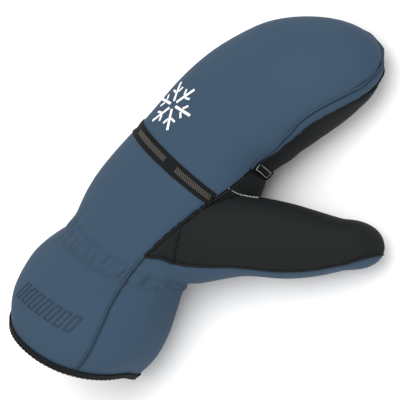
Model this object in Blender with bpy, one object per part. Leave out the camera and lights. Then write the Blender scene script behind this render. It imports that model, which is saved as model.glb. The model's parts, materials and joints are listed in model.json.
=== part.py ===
"""A winter mitten for the left hand, with a finger hood that folds back off the fingers.

It lies palm down. +Y runs from the cuff's hem to the fingertips, +X towards the thumb and
+Z up from the surface that it lies on. All sizes are in metres and all angles in degrees.
"""

import math
from collections import namedtuple

import bmesh
import bpy
from mathutils import Vector

# Driving sizes of the hand, cuff and wrist
MITTEN_LENGTH = 0.275
HAND_WIDTH = 0.099
HAND_THICKNESS = 0.059
CUFF_WIDTH = 0.112
CUFF_THICKNESS = 0.073
WRIST_WIDTH = 0.091
WRIST_THICKNESS = 0.057
WRIST_LIFT = 0.006
TIP_REACH = 0.0770

# Driving sizes of the thumb
THUMB_LENGTH = 0.122
THUMB_WIDTH = 0.053
THUMB_THICKNESS = 0.046
THUMB_TIP_REACH = 0.0277
THUMB_HEADING = 45.6
THUMB_DIP = 6.9
THUMB_ROLL = 12.0

# Cloth, seams and trims
WALL = 0.003
SEAM_GAP = 0.0003
SEAT_GAP = 0.0003
TUCK = 0.012
TUCK_GAP = 0.0005
BAND_WIDTH = 0.0088
BAND_THICKNESS = 0.0012
TAB_WIDTH = 0.0052
TAB_THICKNESS = 0.0014
BINDING_WIDTH = 0.0038
BINDING_THICKNESS = 0.0010
GATHER_DEPTH = 0.0011
GATHER_COUNT = 17

# Where the crossing seams lie, as shares of the mitten's length
CASING_START = 0.2211
CASING_END = 0.2556
BAND_AT = 0.4740
SLIT_AT = 0.5862

# How full a section is: 2 is an ellipse, more is squarer
UPPER_FULLNESS = 2.15
LOWER_FULLNESS = 2.5
TIP_FULLNESS = 1.88
EQUATOR = 0.47

# The hem lies on its binding, and the cloth comes down to the surface past it
HEM_LIFT = BINDING_THICKNESS + SEAT_GAP
LIFT_START = 0.008
LIFT_END = 0.024
HEM_AT = BINDING_THICKNESS + SEAT_GAP

# Steps round a section, on the thumb side and the far side
BACK_STEPS = (8, 17)
SIDE_STEPS = (24, 16)
PALM_STEPS = (12, 8)

# Sections of the hand from the hem to the hood's last full section. Each length is a share
# of the named size in its column: along and shift of the mitten's length and hand's width.
HandRow = namedtuple(
    "HandRow", "along shift turn width ulnar radial thickness foot top lean back_seam side_seam"
)
HAND_ROWS = (
    HandRow(0.000, 0.300, 9.5, CUFF_WIDTH, 0.375, 0.362, CUFF_THICKNESS, -0.02, 0.985, -0.51, 46, 0),
    HandRow(0.050, 0.265, 12.5, CUFF_WIDTH, 0.455, 0.435, CUFF_THICKNESS, -0.03, 1.045, -0.49, 46, 0),
    HandRow(0.120, 0.210, 16.0, CUFF_WIDTH, 0.483, 0.44, CUFF_THICKNESS, -0.03, 1.04, -0.47, 47, 0),
    HandRow(0.180, 0.150, 16.0, CUFF_WIDTH, 0.465, 0.42, CUFF_THICKNESS, 0.01, 0.965, -0.44, 49, 0),
    HandRow(CASING_START, 0.115, 14.0, WRIST_WIDTH, 0.485, 0.50, WRIST_THICKNESS, 0.08, 1.10, -0.40, 51, 0),
    HandRow(CASING_END, 0.100, 9.5, WRIST_WIDTH, 0.475, 0.50, WRIST_THICKNESS, 0.09, 1.08, -0.32, 52, 0),
    HandRow(0.296, 0.065, 7.0, HAND_WIDTH, 0.470, 0.49, HAND_THICKNESS, 0.05, 1.04, -0.24, 52, 0),
    HandRow(0.400, 0.025, 5.5, HAND_WIDTH, 0.495, 0.49, HAND_THICKNESS, 0.00, 1.02, -0.10, 46, 0),
    HandRow(BAND_AT, 0.015, 5.5, HAND_WIDTH, 0.50, 0.49, HAND_THICKNESS, -0.03, 1.00, -0.05, 40, 0),
    HandRow(0.532, 0.000, 3.5, HAND_WIDTH, 0.497, 0.465, HAND_THICKNESS, -0.04, 0.98, -0.02, 30, 0),
    HandRow(SLIT_AT, -0.020, 1.0, HAND_WIDTH, 0.49, 0.42, HAND_THICKNESS, -0.04, 0.96, 0.00, 18, 0),
    HandRow(0.676, 0.000, -10.0, HAND_WIDTH, 0.49, 0.44, HAND_THICKNESS, -0.04, 0.93, 0.00, 22, 0),
    HandRow(0.751, 0.040, -26.0, HAND_WIDTH, 0.455, 0.445, HAND_THICKNESS, -0.04, 0.91, 0.00, 24, 0),
)

# Sections of the thumb from its root inside the hand to the last full section. The thumb's
# height points from its blue back to the fingers, so down is towards the back.
ThumbRow = namedtuple("ThumbRow", "along lower upper down up upper_seam lower_seam")
THUMB_ROWS = (
    ThumbRow(0.00, 0.38, 0.38, 0.40, 0.46, -18, -30),
    ThumbRow(0.16, 0.48, 0.48, 0.49, 0.56, -26, -38),
    ThumbRow(0.28, 0.50, 0.50, 0.44, 0.60, -36, -42),
    ThumbRow(0.43, 0.49, 0.49, 0.38, 0.60, -46, -44),
    ThumbRow(0.71, 0.45, 0.45, 0.41, 0.50, -49, -44),
    ThumbRow(0.90, 0.40, 0.40, 0.355, 0.375, -51, -44),
    ThumbRow(1.00, 0.37, 0.37, 0.300, 0.310, -50, -42),
)
THUMB_TIP_SEAM = -15.0
THUMB_ROOT = (0.275, 0.3142, 0.58)

# The hood's tip in plan: reach as a share of TIP_REACH by angle from the thumb side round
TipRow = namedtuple("TipRow", "angle reach")
TIP_ROWS = (
    TipRow(11, 0.568),
    TipRow(26, 0.580),
    TipRow(41, 0.645),
    TipRow(56, 0.755),
    TipRow(71, 0.915),
    TipRow(86, 0.995),
    TipRow(101, 0.925),
    TipRow(116, 0.795),
    TipRow(131, 0.692),
    TipRow(146, 0.630),
    TipRow(161, 0.597),
)

# The hood's side strip starts as a point at the slit and is widest round the fingertips.
# Shares run along the hood's rim from the slit on the thumb side to the far side.
StripRow = namedtuple("StripRow", "share upper lower")
STRIP_ROWS = (
    StripRow(0.000, 18, 16),
    StripRow(0.036, 21, 16),
    StripRow(0.072, 23, 16),
    StripRow(0.118, 27, 17),
    StripRow(0.153, 32, 20),
    StripRow(0.192, 33, 20),
    StripRow(0.238, 31, 15),
    StripRow(0.292, 23, 4),
    StripRow(0.354, 5, -13),
    StripRow(0.415, -9, -25),
    StripRow(0.535, -12, -27),
    StripRow(0.750, -6, -20),
    StripRow(1.000, 0, -12),
)

# The blue cloth runs past the wrist's casing on the thumb side, by these lengths at these
# angles from the ridge down to the middle of the palm
FlapRow = namedtuple("FlapRow", "angle reach")
FLAP_ROWS = (
    FlapRow(-90, 0.0012),
    FlapRow(-80, 0.0045),
    FlapRow(-66, 0.0138),
    FlapRow(40, 0.0138),
    FlapRow(56, 0.0082),
)
FLAP_CREASES = {-66, 40}
FLAP_START = 0.0012
FLAP_END = 0.030

Meridian = namedtuple("Meridian", "spine direction reach foot top lean rim upper_seam lower_seam")
Frame = namedtuple("Frame", "origin lateral forward height")


def tidy_scene():
    """Removes what the startup scene holds."""
    for item in list(bpy.data.objects):
        bpy.data.objects.remove(item)


def slopes_at(knots, values, creases):
    """The slope before and after each knot. At a crease the two differ."""
    steps = [
        (values[i + 1] - values[i]) / (knots[i + 1] - knots[i]) for i in range(len(knots) - 1)
    ]
    pairs = []
    for i, knot in enumerate(knots):
        before = steps[max(i - 1, 0)]
        after = steps[min(i, len(steps) - 1)]
        if knot not in creases and 0 < i < len(knots) - 1:
            left, right = knots[i] - knots[i - 1], knots[i + 1] - knots[i]
            before = after = (before * right + after * left) / (left + right)
        pairs.append((before, after))
    return pairs


def smooth_value(knots, values, creases, at):
    """A smooth curve through the table's values, read at one place."""
    at = min(max(at, knots[0]), knots[-1])
    i = max(k for k in range(len(knots) - 1) if knots[k] <= at)
    slopes = slopes_at(knots, values, creases)
    span = knots[i + 1] - knots[i]
    t = (at - knots[i]) / span
    start, end = slopes[i][1] * span, slopes[i + 1][0] * span
    cubic = 2 * t**3 - 3 * t**2 + 1
    return (
        cubic * values[i]
        + (t**3 - 2 * t**2 + t) * start
        + (1 - cubic) * values[i + 1]
        + (t**3 - t**2) * end
    )


class Form:
    """A rounded sleeve: full sections along a spine, closed by a fan of half sections."""

    def __init__(self, frame, sections, creases, tip_reach, tip_rows, tip_seam, hem_lift):
        self.frame = frame
        self.tip_rows = tip_rows
        self.hem_lift = hem_lift
        self.sections = sections
        self.creases = creases
        self.tip_reach = tip_reach
        self.tip_seam = tip_seam
        self.knots = [section["along"] for section in sections]
        self.end = self.knots[-1]

    def section(self, along):
        """Every size of the section at one place along the spine."""
        return {
            name: smooth_value(self.knots, [row[name] for row in self.sections], self.creases, along)
            for name in self.sections[0]
        }

    def side(self, along, sign):
        """The half section on the +lateral side (sign 1) or the -lateral side (sign -1)."""
        cut = self.section(along)
        turn = math.radians(cut["turn"])
        return Meridian(
            Vector((cut["shift"], along)),
            Vector((math.cos(turn), math.sin(turn))) * sign,
            cut["plus"] if sign > 0 else cut["minus"],
            cut["foot"],
            cut["top"],
            cut["lean"],
            along,
            cut["plus_seam"] if sign > 0 else cut["minus_seam"],
            0,
        )

    def fan(self, count):
        """The half sections round the tip, from the +lateral side to the -lateral side."""
        cut = self.section(self.end)
        turn = math.radians(cut["turn"])
        across = Vector((math.cos(turn), math.sin(turn)))
        ahead = Vector((-math.sin(turn), math.cos(turn)))
        found = []
        for step in range(1, count):
            angle = math.pi * step / count
            cosine, sine = math.cos(angle), math.sin(angle)
            reach = self.tip_outline(math.degrees(angle), cut["plus"], cut["minus"])
            near = cut["plus_seam"] if cosine > 0 else cut["minus_seam"]
            seam = near + (self.tip_seam - near) * sine**2
            found.append(
                Meridian(
                    Vector((cut["shift"], self.end)),
                    across * cosine + ahead * sine,
                    reach,
                    cut["foot"],
                    cut["top"],
                    cut["lean"],
                    self.end,
                    seam,
                    0,
                )
            )
        return found

    def tip_outline(self, angle, plus, minus):
        """The tip's reach in plan at one angle: from the table, or else a plain oval."""
        if self.tip_rows:
            angles = [0] + [row.angle for row in self.tip_rows] + [180]
            reaches = [plus] + [row.reach * self.tip_reach for row in self.tip_rows] + [minus]
            return smooth_value(angles, reaches, set(), angle)
        aside = plus if angle < 90 else minus
        cosine, sine = abs(math.cos(math.radians(angle))), math.sin(math.radians(angle))
        total = (cosine / aside) ** TIP_FULLNESS + (sine / self.tip_reach) ** TIP_FULLNESS
        return total ** (-1 / TIP_FULLNESS)

    def point(self, meridian, angle, inset, ripple=0.0):
        """A place on the form: angle 90 is the ridge, 0 the rim and -90 the underside."""
        equator = meridian.foot + EQUATOR * (meridian.top - meridian.foot)
        radians = math.radians(angle)
        sine, cosine = math.sin(radians), max(math.cos(radians), 0.0)
        fullness = UPPER_FULLNESS if sine >= 0 else LOWER_FULLNESS
        reach = meridian.reach - inset + ripple
        rise = (meridian.top - equator) if sine >= 0 else (equator - meridian.foot)
        out = reach * cosine ** (2 / fullness)
        height = (rise - inset + ripple) * abs(sine) ** (2 / fullness)
        level = equator + (height if sine >= 0 else -height)
        flat = meridian.spine + meridian.direction * out
        flat += Vector((0, 1)) * meridian.lean * max(level - equator, 0.0)
        return self.world(flat, level)

    def laid(self, meridian, angle, inset, ripple=0.0):
        """A place on the form, with cloth that would sag below the surface laid flat on it."""
        place = self.point(meridian, angle, inset, ripple)
        share = min(max((LIFT_END - meridian.rim) / (LIFT_END - LIFT_START), 0.0), 1.0)
        floor = self.hem_lift * (3 * share**2 - 2 * share**3)
        return Vector((place.x, place.y, max(place.z, floor + inset)))

    def world(self, flat, level):
        """From the form's own axes to the mitten's."""
        frame = self.frame
        return (
            frame.origin + frame.lateral * flat.x + frame.forward * flat.y + frame.height * level
        )


def hand_form():
    """The hand, cuff and hood as one sleeve."""
    sections = [
        {
            "along": row.along * MITTEN_LENGTH,
            "shift": row.shift * HAND_WIDTH,
            "turn": row.turn,
            "minus": row.ulnar * row.width,
            "plus": row.radial * row.width,
            "foot": row.foot * row.thickness,
            "top": row.top * row.thickness + wrist_lift(row.along),
            "lean": row.lean,
            "plus_seam": row.back_seam,
            "minus_seam": row.side_seam,
        }
        for row in HAND_ROWS
    ]
    creases = {CASING_START * MITTEN_LENGTH, CASING_END * MITTEN_LENGTH}
    frame = Frame(Vector((0, 0, 0)), Vector((1, 0, 0)), Vector((0, 1, 0)), Vector((0, 0, 1)))
    tip_seam = HAND_ROWS[-1].side_seam
    return Form(frame, sections, creases, TIP_REACH, TIP_ROWS, tip_seam, HEM_LIFT)


def wrist_lift(along):
    """How far the wrist's top is arched up over the cuff and the knuckles."""
    distance = abs(along - CASING_END) / CASING_END
    return WRIST_LIFT * max(0.0, 1 - distance)


def thumb_frame():
    """The thumb's own axes: forward along it, height from its back towards the fingers."""
    heading, dip = math.radians(THUMB_HEADING), math.radians(THUMB_DIP)
    roll = math.radians(THUMB_ROLL)
    forward = Vector(
        (math.sin(heading) * math.cos(dip), math.cos(heading) * math.cos(dip), -math.sin(dip))
    )
    level_side = Vector((-math.cos(heading), math.sin(heading), 0))
    upright = forward.cross(level_side).normalized()
    if upright.z < 0:
        upright = -upright
    height = level_side * math.cos(roll) + upright * math.sin(roll)
    lateral = forward.cross(height)
    shift, along, level = THUMB_ROOT
    origin = Vector((shift * HAND_WIDTH, along * MITTEN_LENGTH, level * HAND_THICKNESS))
    return Frame(origin, lateral, forward, height)


def thumb_form():
    """The thumb as a sleeve of its own, rooted inside the hand."""
    sections = [
        {
            "along": row.along * THUMB_LENGTH,
            "shift": 0.0,
            "turn": 0.0,
            "minus": row.lower * THUMB_THICKNESS,
            "plus": row.upper * THUMB_THICKNESS,
            "foot": -row.down * THUMB_WIDTH,
            "top": row.up * THUMB_WIDTH,
            "lean": 0.0,
            "plus_seam": row.upper_seam,
            "minus_seam": row.lower_seam,
        }
        for row in THUMB_ROWS
    ]
    return Form(thumb_frame(), sections, set(), THUMB_TIP_REACH, (), THUMB_TIP_SEAM, 0.0)


def spread(start, end, count):
    """Evenly spaced values from start to end, both included."""
    return [start + (end - start) * i / count for i in range(count + 1)]


def material(name, colour, roughness):
    """A plain finish for one kind of cloth."""
    made = bpy.data.materials.get(name) or bpy.data.materials.new(name)
    made.use_nodes = True
    shader = made.node_tree.nodes["Principled BSDF"]
    shader.inputs["Base Color"].default_value = (*colour, 1)
    shader.inputs["Roughness"].default_value = roughness
    shader.inputs["Metallic"].default_value = 0.0
    return made


def blue_cloth():
    return material("blue_softshell", (0.060, 0.105, 0.160), 0.75)


def black_cloth():
    return material("black_grip", (0.017, 0.020, 0.021), 0.70)


def black_webbing():
    return material("black_webbing", (0.014, 0.014, 0.014), 0.85)


def add_object(name, shape, finish):
    """Makes the mesh an object, with its faces pointing out."""
    bmesh.ops.recalc_face_normals(shape, faces=shape.faces[:])
    mesh = bpy.data.meshes.new(name)
    shape.to_mesh(mesh)
    shape.free()
    mesh.shade_smooth()
    mesh.set_sharp_from_angle(angle=math.radians(40))
    made = bpy.data.objects.new(name, mesh)
    made.data.materials.append(finish)
    bpy.context.collection.objects.link(made)
    return made


def thick_sheet(name, outer, inner, finish):
    """Cloth with a wall: rows of places on its outer face, and the same rows on its inner face.

    Places that coincide, as along the ridge and at a pole, become one.
    """
    shape = bmesh.new()
    found = {}

    def corner(face, i, j):
        place = (outer, inner)[face][i][j]
        key = (face, *(round(value * 1e7) for value in outer[i][j]))
        if key not in found:
            found[key] = shape.verts.new(place)
        return found[key]

    def face_of(corners):
        kept = [c for k, c in enumerate(corners) if c is not corners[k - 1]]
        if len(kept) > 2 and len(set(kept)) == len(kept) and not shape.faces.get(kept):
            shape.faces.new(kept)

    edges = {}
    for i in range(len(outer) - 1):
        for j in range(len(outer[0]) - 1):
            ring = [(i, j), (i + 1, j), (i + 1, j + 1), (i, j + 1)]
            face_of([corner(0, *c) for c in ring])
            face_of([corner(1, *c) for c in reversed(ring)])
            for k, here in enumerate(ring):
                after = ring[(k + 1) % 4]
                pair = (corner(0, *here), corner(0, *after))
                if pair[0] is not pair[1]:
                    edges.setdefault(frozenset(pair), []).append((here, after))
    for uses in edges.values():
        if len(uses) == 1:
            near, far = sorted(uses[0])
            face_of([corner(0, *near), corner(0, *far), corner(1, *near)])
            face_of([corner(0, *far), corner(1, *far), corner(1, *near)])
    return add_object(name, shape, finish)


def half_gap_angle(form, meridian, angle, gap):
    """The angle that takes up half a gap's width along the cloth."""
    step = 0.5
    here = form.point(meridian, angle - step, 0)
    there = form.point(meridian, angle + step, 0)
    return (gap / 2) / (there - here).length * 2 * step


def flap_reach(angle):
    """How far the blue cloth runs past the wrist's casing at one angle of the thumb side."""
    return smooth_value(
        [row.angle for row in FLAP_ROWS], [row.reach for row in FLAP_ROWS], FLAP_CREASES, angle
    )


def panel_rows(form, meridians, lower_of, upper_of, steps, inset_of, ripple_of, from_ridge):
    """Rows of places for a panel that runs on each meridian between two angles."""
    rows = []
    for meridian in meridians:
        low, high = lower_of(meridian), upper_of(meridian)
        if not from_ridge == "under":
            low += half_gap_angle(form, meridian, low, SEAM_GAP)
        if not from_ridge == "over":
            high -= half_gap_angle(form, meridian, high, SEAM_GAP)
        row = []
        for angle in spread(low, high, steps):
            row.append(form.laid(meridian, angle, inset_of(meridian), ripple_of(meridian, angle)))
        rows.append(row)
    return rows


def no_ripple(meridian, angle):
    return 0.0


def gather_ripple(meridian, angle):
    """Pleats of cloth drawn in by the wrist elastic, deepest in the middle of its casing."""
    start, end = CASING_START * MITTEN_LENGTH, CASING_END * MITTEN_LENGTH
    share = (meridian.rim - start) / (end - start)
    if not 0 < share < 1:
        return 0.0
    across = angle if meridian.direction.x > 0 else 180 - angle
    fold = math.cos(math.radians(across * GATHER_COUNT))
    return GATHER_DEPTH * math.sin(math.pi * share) * fold


def tuck_inset(meridian, edge):
    """A panel's end that is tucked under the next one steps in by that one's wall."""
    share = (meridian.rim - edge) / WALL + 1
    return min(max(share, 0.0), 1.0) * (WALL + TUCK_GAP)


def flap_place(place, sign, angle, gap):
    """Moves a place past the wrist's casing on, so that the seam there follows the flap."""
    edge = CASING_END * MITTEN_LENGTH
    reach = (flap_reach(angle) if sign > 0 else FLAP_START) + gap
    if place <= edge:
        return place
    if place <= edge + FLAP_START:
        return edge + (place - edge) / FLAP_START * reach
    share = min((place - edge - FLAP_START) / (FLAP_END - FLAP_START), 1.0)
    return place + (reach - FLAP_START) * (1 - share)


def open_panel(name, form, places, side, steps, finish, ripple, tuck_edge=None, gap=0.0):
    """A panel over the ridge ("over") or round the underside ("under") of full sections."""

    def half_row(place, sign, count, thickness):
        seam = form.side(place, sign).upper_seam
        if side == "under":
            seam = form.side(flap_place(place, sign, seam, gap), sign).upper_seam
        at_seam = form.side(place, sign)
        inward = half_gap_angle(form, at_seam, seam, SEAM_GAP)
        low, high = (seam + inward, 90.0) if side == "over" else (-90.0, seam - inward)
        row = []
        for angle in spread(low, high, count):
            along = flap_place(place, sign, angle, gap) if side == "under" else place
            meridian = form.side(along, sign)
            tuck = tuck_inset(meridian, tuck_edge) if tuck_edge else 0.0
            row.append(form.laid(meridian, angle, tuck + thickness, ripple(meridian, angle)))
        return row

    def whole(thickness):
        rows = []
        for place in places:
            near = half_row(place, 1, steps[0], thickness)
            far = half_row(place, -1, steps[1], thickness)
            if side == "over":
                rows.append(near + far[::-1][1:])
            else:
                rows.append(near[::-1] + far[1:])
        return rows

    return thick_sheet(name, whole(0.0), whole(WALL), finish)


def hood_meridians(form, start_plus, start_minus, rings, fan_count):
    """Half sections round the hood's rim, from the thumb side to the far side."""
    plus = [form.side(place, 1) for place in spread(start_plus, form.end, rings)]
    minus = [form.side(place, -1) for place in spread(form.end, start_minus, rings)]
    return plus + form.fan(fan_count) + minus


def rim_shares(form, meridians):
    """How far along the rim each meridian lies, from 0 to 1."""
    rim = [form.point(m, 0, 0) for m in meridians]
    run = [0.0]
    for before, after in zip(rim, rim[1:]):
        run.append(run[-1] + (after - before).length)
    return [length / run[-1] for length in run]


def hood_seams(form, meridians):
    """Gives each meridian of the hood the side strip's upper and lower seams."""
    knots = [row.share for row in STRIP_ROWS]
    return [
        meridian._replace(
            upper_seam=smooth_value(knots, [row.upper for row in STRIP_ROWS], set(), share),
            lower_seam=smooth_value(knots, [row.lower for row in STRIP_ROWS], set(), share),
        )
        for meridian, share in zip(meridians, rim_shares(form, meridians))
    ]


def closed_form(name, form, inset, start, rings, fan_count, steps):
    """A closed solid of the form from one place on, taken in by the inset, for cutting."""
    meridians = hood_meridians(form, start, start, rings, fan_count)
    shape = bmesh.new()
    found = {}

    def corner(place):
        key = tuple(round(value * 1e7) for value in place)
        if key not in found:
            found[key] = shape.verts.new(place)
        return found[key]

    rows = [
        [corner(form.point(m, angle, inset)) for angle in spread(-90, 90, steps)] for m in meridians
    ]
    for row, after in zip(rows, rows[1:]):
        for j in range(steps):
            ring = [row[j], after[j], after[j + 1], row[j + 1]]
            kept = [c for k, c in enumerate(ring) if c is not ring[k - 1]]
            if len(set(kept)) == len(kept) and len(kept) > 2:
                shape.faces.new(kept)
    mouth = rows[0][:-1] + rows[-1][::-1][:-1]
    shape.faces.new(mouth)
    made = add_object(name, shape, black_cloth())
    made.hide_render = True
    made.display_type = "WIRE"
    return made


def cut_by(piece, cutter, name):
    """Takes the cutter's volume out of the piece."""
    cut = piece.modifiers.new(name, "BOOLEAN")
    cut.operation = "DIFFERENCE"
    cut.solver = "EXACT"
    cut.object = cutter


def crossing_strip(name, form, places, angles, thickness, finish):
    """Webbing laid across the form, from one angle to another over the ridge or down a side."""
    outer, inner = [], []
    for place in places:
        plus, minus = form.side(place, 1), form.side(place, -1)
        rows = ([], [])
        for angle in angles:
            meridian = plus if angle <= 90 else minus
            own = angle if angle <= 90 else 180 - angle
            rows[0].append(form.point(meridian, own, -SEAT_GAP - thickness))
            rows[1].append(form.point(meridian, own, -SEAT_GAP))
        outer.append(rows[0])
        inner.append(rows[1])
    return thick_sheet(name, outer, inner, finish)


def hem_angles(form, place):
    """Angles round the hem at the same places as the panels' own."""
    near, far = form.side(place, 1).upper_seam, 180 - form.side(place, -1).upper_seam
    return (
        spread(-90, near, SIDE_STEPS[0])[:-1]
        + spread(near, 90, BACK_STEPS[0])[:-1]
        + spread(90, far, BACK_STEPS[1])[:-1]
        + spread(far, 270, SIDE_STEPS[1])[:-1]
    )


def hem_binding(form, finish):
    """Tape folded over the hem: two legs and the fold between them, all the way round."""
    fold = BINDING_THICKNESS
    profile = (
        (BINDING_WIDTH, -SEAT_GAP - fold),
        (-SEAT_GAP, -SEAT_GAP - fold),
        (-SEAT_GAP - fold, WALL / 2),
        (-SEAT_GAP, WALL + SEAT_GAP + fold),
        (BINDING_WIDTH, WALL + SEAT_GAP + fold),
        (BINDING_WIDTH, WALL + SEAT_GAP),
        (-SEAT_GAP, WALL + SEAT_GAP),
        (-SEAT_GAP, -SEAT_GAP),
        (BINDING_WIDTH, -SEAT_GAP),
    )
    start = HEM_AT
    shape = bmesh.new()
    rings = []
    for angle in hem_angles(form, start):
        sign, own = (1, angle) if angle <= 90 else (-1, 180 - angle)
        ring = []
        for ahead, inset in profile:
            place = form.laid(form.side(start + max(ahead, 0.0), sign), own, inset)
            place.y += min(ahead, 0.0)
            ring.append(shape.verts.new(place))
        rings.append(ring)
    for ring, after in zip(rings, rings[1:] + rings[:1]):
        for k in range(len(ring)):
            n = (k + 1) % len(ring)
            shape.faces.new((ring[k], ring[n], after[n], after[k]))
    return add_object("cuff_binding", shape, finish)


def build():
    """Makes every piece of the mitten."""
    tidy_scene()
    hand, thumb = hand_form(), thumb_form()
    blue, black, webbing = blue_cloth(), black_cloth(), black_webbing()
    half = SEAM_GAP / 2
    casing = (CASING_START * MITTEN_LENGTH, CASING_END * MITTEN_LENGTH)
    band, slit = BAND_AT * MITTEN_LENGTH, SLIT_AT * MITTEN_LENGTH
    palm_start = casing[1] + FLAP_START + SEAM_GAP / 10

    cuff_places = spread(HEM_AT, casing[0], 7)
    casing_places = spread(casing[0], casing[1], 4)[1:]
    hand_places = spread(casing[1], band, 6)[1:]
    tongue = [band + WALL / 3, band + TUCK / 2, band + TUCK]

    open_panel(
        "back_panel",
        hand,
        cuff_places + casing_places + hand_places[:-1] + [band - WALL, band - half] + tongue[1:],
        "over",
        BACK_STEPS,
        blue,
        gather_ripple,
        tuck_edge=band,
    )
    side = open_panel(
        "side_panel",
        hand,
        cuff_places + casing_places + [casing[1] + FLAP_START / 2, casing[1] + FLAP_START],
        "under",
        SIDE_STEPS,
        blue,
        gather_ripple,
        gap=-half,
    )
    palm = open_panel(
        "palm_panel",
        hand,
        spread(palm_start, slit - WALL, 9) + [slit - half, slit + TUCK / 2, slit + TUCK],
        "under",
        PALM_STEPS,
        black,
        no_ripple,
        tuck_edge=slit,
        gap=half,
    )

    build_hood(hand, band + half, slit + half, blue, black)

    angles = spread(hand.side(band, 1).upper_seam + 1, 180 - hand.side(band, -1).upper_seam - 1, 22)
    crossing_strip(
        "knuckle_band",
        hand,
        spread(band - BAND_WIDTH / 2, band + BAND_WIDTH / 2, 2),
        angles,
        BAND_THICKNESS,
        webbing,
    )
    crossing_strip(
        "side_tab",
        hand,
        spread(slit - TAB_WIDTH / 2, slit + TAB_WIDTH / 2, 2),
        spread(hand.side(slit, 1).upper_seam + 1, -48, 12),
        TAB_THICKNESS,
        webbing,
    )
    hem_binding(hand, webbing)
    build_thumb(hand, thumb, palm, side, blue, black)
    centre_on_origin()


def centre_on_origin():
    """Puts the origin under the middle of the mitten, on the surface that it lies on."""
    graph = bpy.context.evaluated_depsgraph_get()
    corners = []
    for item in bpy.data.objects:
        if not item.hide_render:
            corners += [Vector(corner) for corner in item.evaluated_get(graph).bound_box]
    low = Vector(min(corner[axis] for corner in corners) for axis in range(3))
    high = Vector(max(corner[axis] for corner in corners) for axis in range(3))
    for item in bpy.data.objects:
        item.location = -Vector(((low.x + high.x) / 2, (low.y + high.y) / 2, low.z))


def build_hood(hand, band_edge, slit_edge, blue, black):
    """The hood: a back over the fingers, a strip round the side and a palm."""
    sides = hood_seams(hand, hood_meridians(hand, slit_edge, slit_edge, 6, 16))
    places = spread(band_edge, slit_edge, 4)[:-1]
    near = [hand.side(place, 1) for place in places]
    far = [hand.side(place, -1) for place in places]
    back = near + sides + far[::-1]

    def sheet(name, meridians, lower_of, upper_of, steps, kind, finish):
        rows = [
            panel_rows(
                hand, meridians, lower_of, upper_of, steps, lambda m: inset, no_ripple, kind
            )
            for inset in (0.0, WALL)
        ]
        return thick_sheet(name, rows[0], rows[1], finish)

    sheet("hood_back", back, lambda m: m.upper_seam, lambda m: 90.0, 8, "over", blue)
    sheet("hood_strip", sides, lambda m: m.lower_seam, lambda m: m.upper_seam, 2, "side", blue)
    sheet("hood_palm", sides, lambda m: -90.0, lambda m: m.lower_seam, 8, "under", black)


def build_thumb(hand, thumb, palm, side, blue, black):
    """The thumb: a black front seated on the palm, and a blue back that runs on into the cuff."""
    rim = hood_meridians(thumb, 0.0, 0.0, 12, 12)

    def shell(name, lower_of, upper_of, steps, kind, finish):
        rows = [
            panel_rows(
                thumb, rim, lower_of, upper_of, steps, lambda m: inset, no_ripple, kind
            )
            for inset in (0.0, WALL)
        ]
        return thick_sheet(name, rows[0], rows[1], finish)

    front = shell("thumb_panel", lambda m: m.upper_seam, lambda m: 90.0, 9, "over", black)
    cut_by(front, closed_form("hand_clearance", hand, -SEAT_GAP, 0.0, 24, 14, 20), "hand")

    back = shell("thumb_back", lambda m: -90.0, lambda m: m.upper_seam, 4, "under", blue)
    cut_by(back, closed_form("hand_space", hand, WALL / 2, 0.0, 24, 14, 20), "space")
    past_cuff = CASING_END * MITTEN_LENGTH + flap_reach(0) - SEAM_GAP
    cut_by(back, closed_form("palm_clearance", hand, -SEAT_GAP, past_cuff, 20, 14, 20), "palm")
    back.hide_render = True
    back.display_type = "WIRE"

    opening = closed_form("thumb_opening", thumb, WALL, 0.0, 12, 12, 14)
    cut_by(palm, opening, "thumb")
    side_opening = closed_form("side_opening", thumb, WALL / 2, 0.0, 12, 12, 14)
    cut_by(side, side_opening, "thumb")
    join = side.modifiers.new("thumb back", "BOOLEAN")
    join.operation = "UNION"
    join.solver = "EXACT"
    join.use_self = True
    join.object = back


build()
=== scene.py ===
# %% [markdown]
# # A winter mitten whose finger hood folds back
#
# This lesson dresses a plain solid model of a left-hand mitten until it looks sewn. The
# mitten has a blue softshell back and cuff, black grip cloth on the palm and thumb, a band
# across the knuckles and a hood over the fingers. Each cell makes one piece or one finish,
# and says what it is on a real mitten and how Blender makes it.
#
# The solids come in through the frame. They are never moved or changed: each soft one is
# copied, softened and shown in its place.

# %% Load the solid mitten
import json
import math
import random

from collections import namedtuple

import bmesh
import bpy
from mathutils import Matrix, Vector
from mathutils.bvhtree import BVHTree
from mathutils.kdtree import KDTree

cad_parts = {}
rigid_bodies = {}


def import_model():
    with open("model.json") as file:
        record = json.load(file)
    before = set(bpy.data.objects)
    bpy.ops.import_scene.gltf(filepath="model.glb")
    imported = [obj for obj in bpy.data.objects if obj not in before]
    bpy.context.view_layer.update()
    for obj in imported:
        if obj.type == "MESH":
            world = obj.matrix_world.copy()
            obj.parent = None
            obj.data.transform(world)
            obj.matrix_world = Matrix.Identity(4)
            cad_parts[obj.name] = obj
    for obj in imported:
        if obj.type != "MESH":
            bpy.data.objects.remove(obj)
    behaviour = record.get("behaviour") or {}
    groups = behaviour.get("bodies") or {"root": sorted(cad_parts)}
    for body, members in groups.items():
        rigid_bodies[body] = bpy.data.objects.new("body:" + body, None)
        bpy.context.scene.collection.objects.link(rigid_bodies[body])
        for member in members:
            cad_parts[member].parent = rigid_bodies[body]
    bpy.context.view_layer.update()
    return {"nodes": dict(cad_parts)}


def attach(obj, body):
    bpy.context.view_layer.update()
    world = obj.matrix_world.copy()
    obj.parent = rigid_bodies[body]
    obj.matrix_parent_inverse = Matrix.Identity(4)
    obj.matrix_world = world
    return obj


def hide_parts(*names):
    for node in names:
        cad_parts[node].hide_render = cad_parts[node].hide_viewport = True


for leftover in list(bpy.data.objects):
    bpy.data.objects.remove(leftover)
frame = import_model()

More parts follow.
